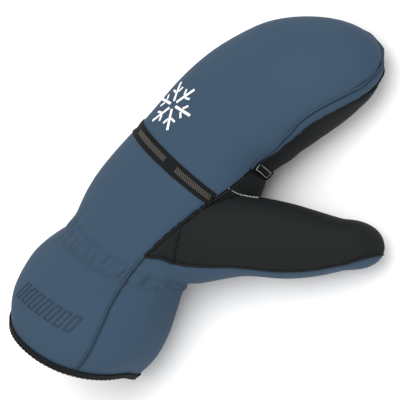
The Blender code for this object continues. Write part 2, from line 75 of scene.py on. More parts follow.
# %% [markdown]
# ## The camera
#
# The mitten is seen from above and from its thumb side, with the fingertips up and to the
# right. A camera could be turned by angles, but here its own axes are known: the direction
# towards it, its right and its up. They become the columns of a matrix, which sets the turn
# exactly. A long lens from far away keeps the outline free of perspective stretching.

# %% Set up the camera
VIEW_WIDTH = 0.256
LENS = 300.0
TOWARDS_CAMERA = Vector((0.489, 0.208, 0.847))
CAMERA_RIGHT = Vector((0.563, 0.666, -0.489))
CAMERA_TARGET = Vector((-0.0196, -0.0043, 0.0346))
CLIP_DISTANCES = 4

towards = TOWARDS_CAMERA.normalized()
upwards = towards.cross(CAMERA_RIGHT).normalized()
rightwards = upwards.cross(towards)
camera_data = bpy.data.cameras.new("studio_camera")
camera_data.lens = LENS
distance = VIEW_WIDTH / camera_data.sensor_width * LENS
camera = bpy.data.objects.new("studio_camera", camera_data)
camera.matrix_world = Matrix.Translation(CAMERA_TARGET + towards * distance) @ Matrix(
    (rightwards, upwards, towards)
).transposed().to_4x4()
camera_data.clip_end = distance * CLIP_DISTANCES
bpy.context.scene.collection.objects.link(camera)
bpy.context.scene.camera = camera
print("camera stands", round(distance, 3), "m away")

# %% [markdown]
# ## Floor and light
#
# A product picture is lit by large soft lamps over a pale sweep, so that shadows are faint
# and cloth shows its form without glare. One plane is the floor. Two big area lamps and a
# bright surrounding do the rest: the larger a lamp is, the softer its shadow.

# %% Lay the floor
FLOOR_SIZE = 6.0
FLOOR_COLOUR = (0.90, 0.90, 0.90, 1)
FLOOR_ROUGHNESS = 0.9
FLOOR_GLOSS = 0.1

bpy.ops.object.select_all(action="DESELECT")
bpy.ops.mesh.primitive_plane_add(size=FLOOR_SIZE)
floor = bpy.context.object
floor.name = "studio_floor"
floor_finish = bpy.data.materials.new("studio_floor")
floor_finish.use_nodes = True
floor_shader = floor_finish.node_tree.nodes["Principled BSDF"]
floor_shader.inputs["Base Color"].default_value = FLOOR_COLOUR
floor_shader.inputs["Roughness"].default_value = FLOOR_ROUGHNESS
floor_shader.inputs["Specular IOR Level"].default_value = FLOOR_GLOSS
floor.data.materials.append(floor_finish)
print("floor of", FLOOR_SIZE, "m")

# %% Hang the lamps
LAMP_AIM = Vector((0, 0, 0.03))
SURROUND_STRENGTH = 0.80


def soft_lamp(name, place, size, power):
    """A square area lamp that looks at the mitten."""
    lamp = bpy.data.lights.new(name, "AREA")
    lamp.size = size
    lamp.energy = power
    hung = bpy.data.objects.new(name, lamp)
    hung.location = place
    aim = LAMP_AIM - Vector(place)
    hung.rotation_euler = aim.to_track_quat("-Z", "Y").to_euler()
    bpy.context.scene.collection.objects.link(hung)
    print(name, "is", size, "m wide")


soft_lamp("overhead_lamp", place=(-0.25, 0.25, 1.30), size=1.6, power=18.0)
soft_lamp("side_lamp", place=(1.10, -0.50, 0.80), size=1.4, power=8.0)
surround = bpy.data.worlds.new("studio_surround")
surround.use_nodes = True
backdrop = surround.node_tree.nodes["Background"]
backdrop.inputs["Color"].default_value = (1, 1, 1, 1)
backdrop.inputs["Strength"].default_value = SURROUND_STRENGTH
bpy.context.scene.world = surround
bpy.context.scene.view_settings.view_transform = "Standard"

# %% [markdown]
# ## Softening the panels
#
# A sewn, padded panel bulges gently between its seams and pulls in at them. Each solid panel
# is copied, its loose triangles are merged into one skin and joined into four-sided faces,
# and a short cloth simulation blows it up a little, like a cushion. The seams are pinned so
# that they stay where the pattern puts them, and no point may move past a small cap.

# %% Helpers that select and finish an object
def pick(piece):
    """Makes one object the only selected and active one."""
    bpy.ops.object.select_all(action="DESELECT")
    piece.select_set(True)
    bpy.context.view_layer.objects.active = piece


def finish_modifiers(piece):
    """Applies every modifier, in order."""
    pick(piece)
    for modifier in list(piece.modifiers):
        bpy.ops.object.modifier_apply(modifier=modifier.name)


# %% Copy a solid panel as one skin
MERGE_DISTANCE = 0.00002
FLAT_ENOUGH = math.radians(50)


def skin_of(node, name):
    """A merged copy of a solid's skin, on a mesh of its own."""
    piece = bpy.data.objects.new(name, frame["nodes"][node].data.copy())
    piece.data.name = name
    piece.data.materials.clear()
    bpy.context.scene.collection.objects.link(piece)
    pick(piece)
    bpy.ops.object.mode_set(mode="EDIT")
    bpy.ops.mesh.select_all(action="SELECT")
    bpy.ops.mesh.remove_doubles(threshold=MERGE_DISTANCE)
    bpy.ops.mesh.tris_convert_to_quads(face_threshold=FLAT_ENOUGH, shape_threshold=FLAT_ENOUGH)
    bpy.ops.object.mode_set(mode="OBJECT")
    return piece


# %% [markdown]
# The simulation needs to know which points are on a seam. On a thin panel these are the
# points where its face turns sharply into its rim, so the angle between neighbouring faces
# tells them apart. The underside lies on the table, so it is pinned as well.

# %% Find the rim of a panel and blow the panel up
MILLIMETRE = 0.001
RIM_ANGLE = math.radians(42)
TABLE_REACH = 0.0016
PRESSURE = 4.0
STIFFNESS = 20
SIMULATION_STEPS = 6
SIMULATED_FRAMES = 20


def shape_of(mesh):
    """A mesh opened, so that its edges and faces know each other."""
    shape = bmesh.new()
    shape.from_mesh(mesh)
    return shape


def is_sharp(edge):
    """Whether the two faces at an edge turn sharply."""
    return edge.calc_face_angle(0.0) > RIM_ANGLE


def rim_of(mesh):
    """The points on sharp edges, by number."""
    shape = shape_of(mesh)
    found = {corner.index for edge in shape.edges if is_sharp(edge) for corner in edge.verts}
    shape.free()
    return found


def blow_up(piece, cap):
    """A cloth simulation from inside the wall, in which no free point moves past the cap."""
    start = [corner.co.copy() for corner in piece.data.vertices]
    held = rim_of(piece.data) | {i for i, place in enumerate(start) if place.z < TABLE_REACH}
    pins = piece.vertex_groups.new(name="seams")
    pins.add(sorted(held), 1.0, "REPLACE")
    cloth = piece.modifiers.new("padding", "CLOTH")
    cloth.settings.quality = SIMULATION_STEPS
    cloth.settings.vertex_group_mass = "seams"
    cloth.settings.use_pressure = True
    cloth.settings.uniform_pressure_force = PRESSURE
    cloth.settings.tension_stiffness = STIFFNESS
    cloth.settings.compression_stiffness = STIFFNESS
    cloth.settings.effector_weights.gravity = 0
    cloth.collision_settings.use_collision = False
    cloth.point_cache.frame_start = 1
    cloth.point_cache.frame_end = SIMULATED_FRAMES
    for moment in range(1, SIMULATED_FRAMES + 1):
        bpy.context.scene.frame_set(moment)
    finish_modifiers(piece)
    bpy.context.scene.frame_set(1)
    furthest = 0.0
    for i, corner in enumerate(piece.data.vertices):
        move = corner.co - start[i]
        if i in held:
            move = Vector((0, 0, 0))
        if move.length > cap:
            move *= cap / move.length
        corner.co = start[i] + move
        furthest = max(furthest, move.length)
    piece.vertex_groups.clear()
    print(piece.name, len(held), "held points, moved at most", round(furthest / MILLIMETRE, 2), "mm")


# %% [markdown]
# The blown-up skin is still made of large faces, and it has thin slivers where the thumb was
# let into the palm. Subdividing rounds the large faces while creases keep the rims in place.
# A fine voxel remesh then gives even faces all over, and rounds the rims as a folded cloth
# edge is round. Smoothing takes out the steps that the voxels leave.

# %% Round a panel
VOXEL = 0.0012
SMOOTHING = 0.5
SMOOTHING_PASSES = 6


def rounded(piece):
    """Subdivides the panel between its rims, remeshes it evenly and smooths it."""
    shape = shape_of(piece.data)
    crease = shape.edges.layers.float.new("crease_edge")
    for edge in shape.edges:
        if is_sharp(edge):
            edge[crease] = 1.0
    shape.to_mesh(piece.data)
    shape.free()
    subdivision = piece.modifiers.new("rounding", "SUBSURF")
    subdivision.levels = subdivision.render_levels = 2
    remesh = piece.modifiers.new("even faces", "REMESH")
    remesh.mode = "VOXEL"
    remesh.voxel_size = VOXEL
    remesh.use_smooth_shade = True
    smooth = piece.modifiers.new("soft", "SMOOTH")
    smooth.factor = SMOOTHING
    smooth.iterations = SMOOTHING_PASSES
    finish_modifiers(piece)
    return piece


# %% [markdown]
# Cloth has two sides. The outer side of each panel is softshell or grip cloth, and the side
# towards the hand is a dark fleece lining. The rim splits a panel's skin into those two
# sides, and the side whose faces point away from the middle of the hand or thumb is the
# outer one.

# %% Tell a panel's lining from its outer side
HAND_MIDDLE = (
    (-0.0138, -0.1270, 0.0360),
    (-0.0321, -0.0662, 0.0330),
    (-0.0421, 0.0034, 0.0280),
    (-0.0456, 0.0340, 0.0270),
    (-0.0396, 0.0795, 0.0250),
    (-0.0186, 0.1230, 0.0240),
)
THUMB_MIDDLE = ((0.0050, -0.0198, 0.0306), (0.0616, 0.0358, 0.0210))
MIDDLE_STEPS = 12
middle = []
for line in (HAND_MIDDLE, THUMB_MIDDLE):
    for near, far in zip(line, line[1:]):
        for step in range(MIDDLE_STEPS):
            middle.append(Vector(near).lerp(Vector(far), step / MIDDLE_STEPS))


def away_from_middle(place):
    """The direction from the nearest point on the middle of the hand or thumb."""
    nearest = min(middle, key=lambda point: (place - point).length_squared)
    return (place - nearest).normalized()


SIDE_SHARE = 0.4


def sides_of(mesh):
    """Two sets of faces, the outer side's and the lining's. The rim belongs to neither."""
    shape = shape_of(mesh)
    outer, lining, seen = set(), set(), set()
    for first in shape.faces:
        if first.index in seen:
            continue
        seen.add(first.index)
        side, waiting, facing, area = [], [first], 0.0, 0.0
        while waiting:
            face = waiting.pop()
            side.append(face.index)
            area += face.calc_area()
            outwards = away_from_middle(face.calc_center_median())
            facing += face.calc_area() * face.normal.dot(outwards)
            flat = [edge for edge in face.edges if not is_sharp(edge)]
            for other in [other for edge in flat for other in edge.link_faces]:
                if other.index not in seen:
                    seen.add(other.index)
                    waiting.append(other)
        if facing > SIDE_SHARE * area:
            outer.update(side)
        elif facing < -SIDE_SHARE * area:
            lining.update(side)
    shape.free()
    return outer, lining


# %% [markdown]
# Now every panel is made in one loop. The table names each panel's solid and the cap on how
# far its cloth may move from it. Whether a face is lining is looked up on the flat skin,
# before the blowing up, because there the sides are easiest to tell apart.

# %% Make every panel
PANELS = {
    "back_cloth": ("back_panel", 0.0014),
    "side_cloth": ("side_panel", 0.0014),
    "palm_cloth": ("palm_panel", 0.0012),
    "thumb_cloth": ("thumb_panel", 0.0014),
    "hood_back_cloth": ("hood_back", 0.0014),
    "hood_strip_cloth": ("hood_strip", 0.0008),
    "hood_palm_cloth": ("hood_palm", 0.0012),
}
panels = {}
for name, (node, cap) in PANELS.items():
    panel = skin_of(node, name)
    lining = sides_of(panel.data)[1]
    flat_skin = BVHTree.FromPolygons(
        [corner.co.copy() for corner in panel.data.vertices],
        [list(face.vertices) for face in panel.data.polygons],
    )
    blow_up(panel, cap)
    rounded(panel)
    for face in panel.data.polygons:
        face.material_index = 1 if flat_skin.find_nearest(face.center)[2] in lining else 0
    panels[name] = panel
    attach(panel, "root")
    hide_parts(node)
    lined = sum(face.material_index for face in panel.data.polygons)
    print(name, len(panel.data.polygons), "faces, of which lining", lined)

# %% [markdown]
# ## Finding the seams
#
# A seam is where the rims of two panels face each other. The outer rim edges of one panel
# that lie within a thread's width of the other panel are chained into a line, and the line
# is smoothed and divided evenly. It places the seam's valley, the small puckers beside it
# and the shade painted darker there, and later the cords that lie in the valley.

# %% Chain rim edges into seam lines
SEAM_REACH = 0.0008
SEAM_STEP = 0.0015
SEAMS = {
    "back_seam": ("back_panel", "side_panel"),
    "palm_back_seam": ("back_panel", "palm_panel"),
    "hood_palm_back_seam": ("hood_back", "palm_panel"),
    "hood_upper_seam": ("hood_back", "hood_strip"),
    "hood_lower_seam": ("hood_palm", "hood_strip"),
    "wrist_flap_seam": ("palm_panel", "side_panel"),
    "thumb_seam": ("thumb_panel", "side_panel"),
}
SHORTEST_SEAM = 0.008
SEAM_SMOOTHING = 3
SAME_PLACE_DIGITS = 6


def rim_edges(node):
    """The edges between a solid's outer side and its rim, as pairs of places."""
    merged = skin_of(node, "seam_finder")
    outer = sides_of(merged.data)[0]
    shape = shape_of(merged.data)
    found = [
        tuple(corner.co.copy() for corner in edge.verts)
        for edge in shape.edges
        if is_sharp(edge) and any(face.index in outer for face in edge.link_faces)
    ]
    shape.free()
    bpy.data.objects.remove(merged)
    return found


def key_of(place):
    """A place as rounded numbers, which two edges that meet there share."""
    return tuple(round(value, SAME_PLACE_DIGITS) for value in place)


def chained(edges):
    """Lines of places, made by joining edges end to end."""
    ends = {}
    for near, far in edges:
        for here, there in ((near, far), (far, near)):
            ends.setdefault(key_of(here), []).append(there)
    lines, used = [], set()
    for start in sorted(ends, key=lambda key: (len(ends[key]) != 1, key)):
        if start in used:
            continue
        used.add(start)
        line, key = [Vector(start)], start
        while True:
            ahead = [place for place in ends[key] if key_of(place) not in used]
            if not ahead:
                break
            line.append(ahead[0].copy())
            key = key_of(ahead[0])
            used.add(key)
        lines.append(line)
    return lines


def length_of(line):
    """How long a line of places is."""
    return sum((far - near).length for near, far in zip(line, line[1:]))


def evenly(line, step):
    """The same line with places at even steps."""
    count = max(int(round(length_of(line) / step)), 2)
    spacing = length_of(line) / count
    places, run = [line[0].copy()], 0.0
    for near, far in zip(line, line[1:]):
        span = (far - near).length
        while span > 0 and len(places) < count and run + span >= spacing * len(places):
            places.append(near.lerp(far, (spacing * len(places) - run) / span))
        run += span
    return places + [line[-1].copy()]


def smoothed(line, passes):
    """The same line with its inner places drawn towards their neighbours."""
    for _ in range(passes):
        inner = [(a + 2 * b + c) / 4 for a, b, c in zip(line, line[1:], line[2:])]
        line = [line[0], *inner, line[-1]]
    return line


rims = {node: rim_edges(node) for pair in SEAMS.values() for node in pair}
seam_lines = {}
for name, (first, second) in SEAMS.items():
    facing = [corner for edge in rims[second] for corner in evenly(list(edge), SEAM_STEP)]
    near_edges = [
        edge
        for edge in rims[first]
        if all(min((corner - other).length for other in facing) < SEAM_REACH for corner in edge)
    ]
    lines = [line for line in chained(near_edges) if length_of(line) > SHORTEST_SEAM]
    seam_lines[name] = [smoothed(evenly(line, SEAM_STEP), SEAM_SMOOTHING) for line in lines]
    print(name, [round(length_of(line), 3) for line in lines], "m")

# %% [markdown]
# A seam pulls its cloth down into a shallow valley and gathers it in small puckers. Voxel
# faces are fine enough to carry both, so the outer points near a seam are moved in code:
# down towards the seam, and up and down in a slow wave along it. How near a point is to a
# seam is also kept as an attribute, from which the cloth's finish later paints shade into
# the valley.

# %% Sink the seams and pucker the cloth beside them
FULL_TURN = 2 * math.pi
VALLEY_DEPTH = 0.0003
VALLEY_WIDTH = 0.0020
PAINTED_SHADE_WIDTH = 0.0010
PUCKER_HEIGHT = 0.00012
PUCKER_WIDTH = 0.0060
PUCKER_LENGTH = 0.0085


def seam_places():
    """Every place on every seam, with how far along its line it lies."""
    for lines in seam_lines.values():
        for line in lines:
            run = 0.0
            for near, far in zip(line, line[1:]):
                yield near, run
                run += (far - near).length


def tree_of(places):
    """A search tree over single places."""
    tree = KDTree(len(places))
    for number, place in enumerate(places):
        tree.insert(place, number)
    tree.balance()
    return tree


along_seams = list(seam_places())
seam_tree = tree_of([place for place, run in along_seams])
for name, panel in panels.items():
    mesh = panel.data
    painted_shade_layer = mesh.attributes.new("seam", "FLOAT", "POINT")
    facing = [corner.normal.copy() for corner in mesh.vertices]
    painted_shades = []
    for corner, normal in zip(mesh.vertices, facing):
        place, number, gap = seam_tree.find(corner.co)
        outside = normal.dot(away_from_middle(corner.co)) > 0
        # Painted shade: the colour will be darker the nearer a point is to a seam.
        painted_shades.append(math.exp(-gap / PAINTED_SHADE_WIDTH) if outside else 0.0)
        if outside:
            wave = math.cos(FULL_TURN * along_seams[number][1] / PUCKER_LENGTH)
            sink = VALLEY_DEPTH * math.exp(-((gap / VALLEY_WIDTH) ** 2))
            pucker = PUCKER_HEIGHT * wave * math.exp(-gap / PUCKER_WIDTH)
            corner.co += normal * (pucker - sink)
            corner.co.z = max(corner.co.z, 0.0)
    painted_shade_layer.data.foreach_set("value", painted_shades)
print(len(along_seams), "places on seams")

# %% [markdown]
# ## The elastic at the wrist
#
# An elastic runs round the wrist inside a channel between two rows of stitching. It draws
# the cloth together, so the channel is full of short creases and the cloth fans out from it
# on both sides. The rows lie on slanted cuts through the cuff, so a place's share across the
# channel is worked out from the two cuts, and the creases are pressed in by that share. The
# creases and the rows also get painted shade, added to the seam attribute.

# %% Measure a place against the wrist's channel
WristRow = namedtuple("WristRow", "along shift turn lean level")
LOWER_ROW = WristRow(-0.06624, -0.03212, math.radians(14.0), -0.40, 0.0343)
UPPER_ROW = WristRow(-0.05675, -0.03360, math.radians(9.5), -0.32, 0.0345)


def past_row(place, row):
    """How far towards the fingers a place is from a stitched row."""
    slant = (place.x - row.shift) * math.tan(row.turn)
    return place.y - row.along - slant - row.lean * max(place.z - row.level, 0.0)


def round_wrist(place):
    """The angle of a place round the wrist."""
    return math.atan2(place.z - LOWER_ROW.level, place.x - LOWER_ROW.shift)


# %% Press the creases into the cuff
CREASES = 34
CREASE_DEPTH = 0.0008
CREASE_WIDTH = 0.0011
CREASE_CUTOFF = 3
ROW_DEPTH = 0.00055
ROW_WIDTH = 0.0013
FAN_HEIGHT = 0.00045
FAN_REACH = 0.0085
FAN_DRIFT = 1.5
FAN_DRIFTS_ROUND = 3
WRIST_RADIUS = 0.040
CREASE_PAINTED_SHADE = 0.9
ROW_PAINTED_SHADE = 0.35
CREASE_SEED = 7
CREASE_JITTER = (-0.3, 0.3)
CREASE_SPREADS = {
    "share": (0.25, 0.75),
    "reach": (0.25, 0.5),
    "slope": (-0.09, 0.09),
    "depth": (0.5, 1.0),
}

Crease = namedtuple("Crease", ["angle", *CREASE_SPREADS])
chance = random.Random(CREASE_SEED)
creases = [
    Crease(
        FULL_TURN * (number + chance.uniform(*CREASE_JITTER)) / CREASES,
        *(chance.uniform(*spread) for spread in CREASE_SPREADS.values()),
    )
    for number in range(CREASES)
]


def crease_depth(angle, share):
    """How deep the creases are at an angle and a share across the channel."""
    deepest = 0.0
    for crease in creases:
        past = share - crease.share
        turned = (angle - crease.angle - crease.slope * past + math.pi) % FULL_TURN - math.pi
        across = turned * WRIST_RADIUS / CREASE_WIDTH
        if abs(across) < CREASE_CUTOFF:
            ends = math.exp(-((past / crease.reach) ** 4))
            deepest = max(deepest, crease.depth * ends * math.exp(-(across**2)))
    return deepest


for name in ("back_cloth", "side_cloth"):
    mesh = panels[name].data
    shade = mesh.attributes["seam"].data
    normals = [corner.normal.copy() for corner in mesh.vertices]
    moved = 0
    for number, (corner, normal) in enumerate(zip(mesh.vertices, normals)):
        lower, upper = past_row(corner.co, LOWER_ROW), past_row(corner.co, UPPER_ROW)
        if max(-lower, upper) > 2 * FAN_REACH or normal.dot(away_from_middle(corner.co)) < 0:
            continue
        share, angle = lower / (lower - upper), round_wrist(corner.co)
        outside = max(-lower, upper, 0.0)
        drift = FAN_DRIFT * math.sin(FAN_DRIFTS_ROUND * angle)
        fan = math.cos(CREASES / 2 * angle + drift) * math.exp(-outside / FAN_REACH)
        row = max(math.exp(-((edge / ROW_WIDTH) ** 2)) for edge in (lower, upper))
        crease = crease_depth(angle, share) if outside == 0 else 0.0
        corner.co += normal * (FAN_HEIGHT * fan * (1 - row) - ROW_DEPTH * row - CREASE_DEPTH * crease)
        corner.co.z = max(corner.co.z, 0.0)
        # Painted shade: the creases and the stitched rows are darkened in the seam attribute.
        darker = CREASE_PAINTED_SHADE * crease + ROW_PAINTED_SHADE * row
        shade[number].value = min(shade[number].value + darker, 1.0)
        moved += 1
    print(name, moved, "points gathered at the wrist")

# %% [markdown]
# ## Finding places on the cloth
#
# Stitches, marks and tapes all lie on the cloth. One search tree over every panel answers
# two questions quickly: which cloth is seen at a point of the picture, and where is the
# cloth nearest to a place. A third helper runs a ring round the wrist, by looking inwards
# from all sides at one slanted cut.

# %% One tree over all the cloth
IMAGE_SIDE = 400
KNUCKLES_AT = (180, 140)
LINE_SMOOTHING = 4
FAR_OUT = 0.12
SLIP_SHARE = 0.8
SLIP_SPAN = 6


def tree_over(pieces):
    """One search tree over the faces of several pieces."""
    places, faces = [], []
    for piece in pieces:
        start = len(places)
        places += [corner.co.copy() for corner in piece.data.vertices]
        faces += [[start + k for k in face.vertices] for face in piece.data.polygons]
    return BVHTree.FromPolygons(places, faces)


cloth = tree_over(panels.values())


def seen_at(x, y):
    """The cloth and its direction at one point of the picture, in its pixels."""
    step = VIEW_WIDTH / IMAGE_SIDE
    half = IMAGE_SIDE / 2
    aim = CAMERA_TARGET + rightwards * (x - half) * step + upwards * (half - y) * step
    eye = camera.matrix_world.translation
    return cloth.ray_cast(eye, aim - eye)[:2]


def nearest_cloth(place):
    """The nearest point on the cloth, and the cloth's direction there."""
    return cloth.find_nearest(place)[:2]


def line_through(points, step):
    """A smooth line on the cloth through points of the picture."""
    places = evenly([seen_at(*point)[0] for point in points], step)
    return [nearest_cloth(place)[0] for place in smoothed(places, LINE_SMOOTHING)]


def middle_of(row):
    """The middle of a slanted cut."""
    return Vector((row.shift, row.along, row.level))


def outward(row, angle):
    """The direction outwards at an angle in a slanted cut, which leans on its upper side."""
    flat, rise = math.cos(angle), math.sin(angle)
    side = flat * math.sin(row.turn) + row.lean * max(rise, 0)
    return Vector((flat * math.cos(row.turn), side, rise)).normalized()


def wrist_ring(row, count):
    """A line on the cloth all the way round the wrist, less any ray that slips through a seam."""
    centre = middle_of(row)
    found, reach = [], []
    for number in range(count + 1):
        out = outward(row, FULL_TURN * number / count)
        found.append(cloth.ray_cast(centre + out * FAR_OUT, -out)[0])
        reach.append((found[-1] - centre).dot(out))
    return [
        place
        for k, place in enumerate(found)
        if reach[k] > SLIP_SHARE * max(reach[max(k - SLIP_SPAN, 0):k + SLIP_SPAN])
    ]


print("the knuckles are seen at", seen_at(*KNUCKLES_AT)[0])

# %% [markdown]
# ## Finishes
#
# A finish is a Principled shader fed by patterns. The patterns that several finishes share,
# such as a weave and the soft unevenness of dyed cloth, are node groups: each is built once
# and placed in every material with its own values. The patterns read Object coordinates, so
# they need no unwrapping, except on tapes, whose weave has to follow the tape.

# %% Helpers for building node trees
def add_node(tree, kind, **values):
    """Adds a node and sets its own values."""
    node = tree.nodes.new(kind)
    for name, value in values.items():
        setattr(node, name, value)
    return node


def feed(tree, node, **inputs):
    """Links or sets a node's inputs by number (as _0) or name."""
    for name, value in inputs.items():
        key = int(name[1:]) if name.startswith("_") else name.replace("_", " ")
        socket = node.inputs[key]
        if isinstance(value, bpy.types.NodeSocket):
            tree.links.new(value, socket)
        else:
            socket.default_value = value
    return node


def maths(tree, operation, first, second=0.0, third=0.0):
    """A sum on numbers."""
    node = add_node(tree, "ShaderNodeMath", operation=operation)
    return feed(tree, node, _0=first, _1=second, _2=third).outputs[0]


def vectors(tree, operation, first, second=(0, 0, 0)):
    """A sum on vectors."""
    node = add_node(tree, "ShaderNodeVectorMath", operation=operation)
    feed(tree, node, _0=first, _1=second)
    return node.outputs["Value" if operation == "DOT_PRODUCT" else "Vector"]


def new_group(name, inputs, outputs):
    """A shader node group, with its own input and output sockets."""
    tree = bpy.data.node_groups.new(name, "ShaderNodeTree")
    for socket, kind, value in inputs:
        made = tree.interface.new_socket(name=socket, in_out="INPUT", socket_type=kind)
        if value is not None:
            made.default_value = value
    for socket, kind in outputs:
        tree.interface.new_socket(name=socket, in_out="OUTPUT", socket_type=kind)
    return tree, tree.nodes.new("NodeGroupInput").outputs, tree.nodes.new("NodeGroupOutput").inputs


# %% [markdown]
# A plain weave is two sets of threads that pass over and under each other. Two crossed sine
# waves give its height on a flat face. Cloth faces every way, so the waves are worked out in
# three planes, and each counts as much as the cloth faces that plane.

# %% The weave group
weave, given, out = new_group(
    "cloth_weave",
    [("Vector", "NodeSocketVector", None), ("Threads per metre", "NodeSocketFloat", 900.0)],
    [("Height", "NodeSocketFloat")],
)
turns = maths(weave, "MULTIPLY", given["Threads per metre"], FULL_TURN)
scaled = add_node(weave, "ShaderNodeVectorMath", operation="SCALE")
feed(weave, scaled, _0=given["Vector"], Scale=turns)
waves = vectors(weave, "SINE", scaled.outputs["Vector"])
split = feed(weave, add_node(weave, "ShaderNodeSeparateXYZ"), _0=waves).outputs
crossed = feed(
    weave,
    add_node(weave, "ShaderNodeCombineXYZ"),
    _0=maths(weave, "MULTIPLY", split[1], split[2]),
    _1=maths(weave, "MULTIPLY", split[2], split[0]),
    _2=maths(weave, "MULTIPLY", split[0], split[1]),
).outputs[0]
facing = add_node(weave, "ShaderNodeNewGeometry").outputs["Normal"]
share = vectors(weave, "MULTIPLY", facing, facing)
weave.links.new(vectors(weave, "DOT_PRODUCT", crossed, share), out["Height"])

# %% [markdown]
# Dyed cloth is never one flat colour. A coarse noise gives patches some centimetres wide,
# and a very fine one gives the fibres.

# %% The uneven dye group
def noise(tree, places, scale, detail):
    """A soft noise, as a value from 0 to 1."""
    node = add_node(tree, "ShaderNodeTexNoise")
    return feed(tree, node, Vector=places, Scale=scale, Detail=detail).outputs[0]


dye, given, out = new_group(
    "uneven_dye",
    [
        ("Vector", "NodeSocketVector", None),
        ("Patches per metre", "NodeSocketFloat", 14.0),
        ("Fibres per metre", "NodeSocketFloat", 1400.0),
    ],
    [("Patches", "NodeSocketFloat"), ("Fibres", "NodeSocketFloat")],
)
patches = noise(dye, given["Vector"], given["Patches per metre"], detail=3.0)
fibres = noise(dye, given["Vector"], given["Fibres per metre"], detail=2.0)
dye.links.new(patches, out["Patches"])
dye.links.new(fibres, out["Fibres"])

# %% [markdown]
# The grip cloth on the palm and thumb is a thin leather-like layer with a fine pebbled
# grain. A Voronoi texture divides space into cells, and the distance to a cell's border
# makes each of them a small dome.

# %% The pebbled grain group
DOME_POWER = 0.5
grain, given, out = new_group(
    "pebbled_grain",
    [("Vector", "NodeSocketVector", None), ("Pebbles per metre", "NodeSocketFloat", 900.0)],
    [("Height", "NodeSocketFloat")],
)
cells = add_node(grain, "ShaderNodeTexVoronoi", feature="DISTANCE_TO_EDGE")
feed(grain, cells, Vector=given["Vector"], Scale=given["Pebbles per metre"])
domes = maths(grain, "POWER", cells.outputs["Distance"], DOME_POWER)
grain.links.new(domes, out["Height"])

# %% [markdown]
# A tape's weave runs along it. The tape's own UV map holds metres along it and across it, so
# ribs that cross the tape and the fine lines along it come out at their true size.

# %% The tape weave group
LINES_PER_RIB = 0.8
tape, given, out = new_group(
    "tape_weave",
    [("Vector", "NodeSocketVector", None), ("Ribs per metre", "NodeSocketFloat", 1000.0)],
    [("Height", "NodeSocketFloat")],
)
split = feed(tape, add_node(tape, "ShaderNodeSeparateXYZ"), _0=given["Vector"]).outputs
turns = maths(tape, "MULTIPLY", given["Ribs per metre"], FULL_TURN)
ribs = maths(tape, "SINE", maths(tape, "MULTIPLY", split[0], turns))
finer = maths(tape, "MULTIPLY", turns, LINES_PER_RIB)
lines = maths(tape, "SINE", maths(tape, "MULTIPLY", split[1], finer))
tape.links.new(maths(tape, "MULTIPLY", ribs, lines), out["Height"])

# %% [markdown]
# Now the finishes themselves. The blue softshell is matt, with a very fine weave, patches
# that took the dye a little differently, and painted shade that darkens it along its seams
# and in its creases. Values that are the same all over, such as the sheen of its short fibres,
# are set on the shader itself.

# %% Helpers for one finish
CLOTH_GLOSS = 0.15
SHEEN_ROUGHNESS = 0.5


def start_finish(name, roughness, sheen=0.0):
    """A material with its values that are the same all over."""
    made = bpy.data.materials.new(name)
    made.use_nodes = True
    shader = made.node_tree.nodes["Principled BSDF"]
    shader.inputs["Roughness"].default_value = roughness
    shader.inputs["Sheen Weight"].default_value = sheen
    shader.inputs["Sheen Roughness"].default_value = SHEEN_ROUGHNESS
    shader.inputs["Specular IOR Level"].default_value = CLOTH_GLOSS
    return made, made.node_tree, shader


def place_group(tree, group, **inputs):
    """A shared group in one material, with its own values."""
    node = tree.nodes.new("ShaderNodeGroup")
    node.node_tree = group
    return feed(tree, node, **inputs).outputs


def mixed(tree, share, first, second):
    """A colour between two, by a share."""
    node = add_node(tree, "ShaderNodeMix", data_type="RGBA")
    feed(tree, node, _0=share, _6=first, _7=second)
    return node.outputs[2]


def bumped(tree, shader, height, distance):
    """Turns a height into small slopes on the surface."""
    node = add_node(tree, "ShaderNodeBump")
    feed(tree, node, Strength=1.0, Distance=distance, Height=height)
    tree.links.new(node.outputs["Normal"], shader.inputs["Normal"])


def object_places(tree):
    """Places on the piece in metres, which need no unwrapping."""
    return add_node(tree, "ShaderNodeTexCoord").outputs["Object"]


# %% Softshell, grip cloth and lining
PATCH_SHARE = 0.45
FIBRE_SHARE = 0.55
FIBRE_RISE = 0.6
PAINTED_SHADE_SHARE = 0.5


def cloth_finish(name, dark, light, roughness, sheen, pattern, distance, painted_seam_shade):
    """A cloth that varies from dark to light, with a pattern's height and painted shade at seams and
    creases.
    """
    made, tree, shader = start_finish(name, roughness, sheen)
    places = object_places(tree)
    uneven = place_group(tree, dye, Vector=places)
    patchy = maths(tree, "MULTIPLY", uneven["Patches"], PATCH_SHARE)
    share = maths(tree, "MULTIPLY_ADD", uneven["Fibres"], FIBRE_SHARE, patchy)
    colour = mixed(tree, share, (*dark, 1), (*light, 1))
    # Painted shade: the seam attribute darkens the colour at the seams, creases and wrist rows.
    seam = add_node(tree, "ShaderNodeAttribute", attribute_name="seam").outputs["Fac"]
    deep = tuple(value * painted_seam_shade for value in dark)
    colour = mixed(tree, maths(tree, "MULTIPLY", seam, PAINTED_SHADE_SHARE), colour, (*deep, 1))
    tree.links.new(colour, shader.inputs["Base Color"])
    rise = place_group(tree, pattern[0], Vector=places, **pattern[1])["Height"]
    height = maths(tree, "MULTIPLY_ADD", uneven["Fibres"], FIBRE_RISE, rise)
    bumped(tree, shader, height, distance)
    return made


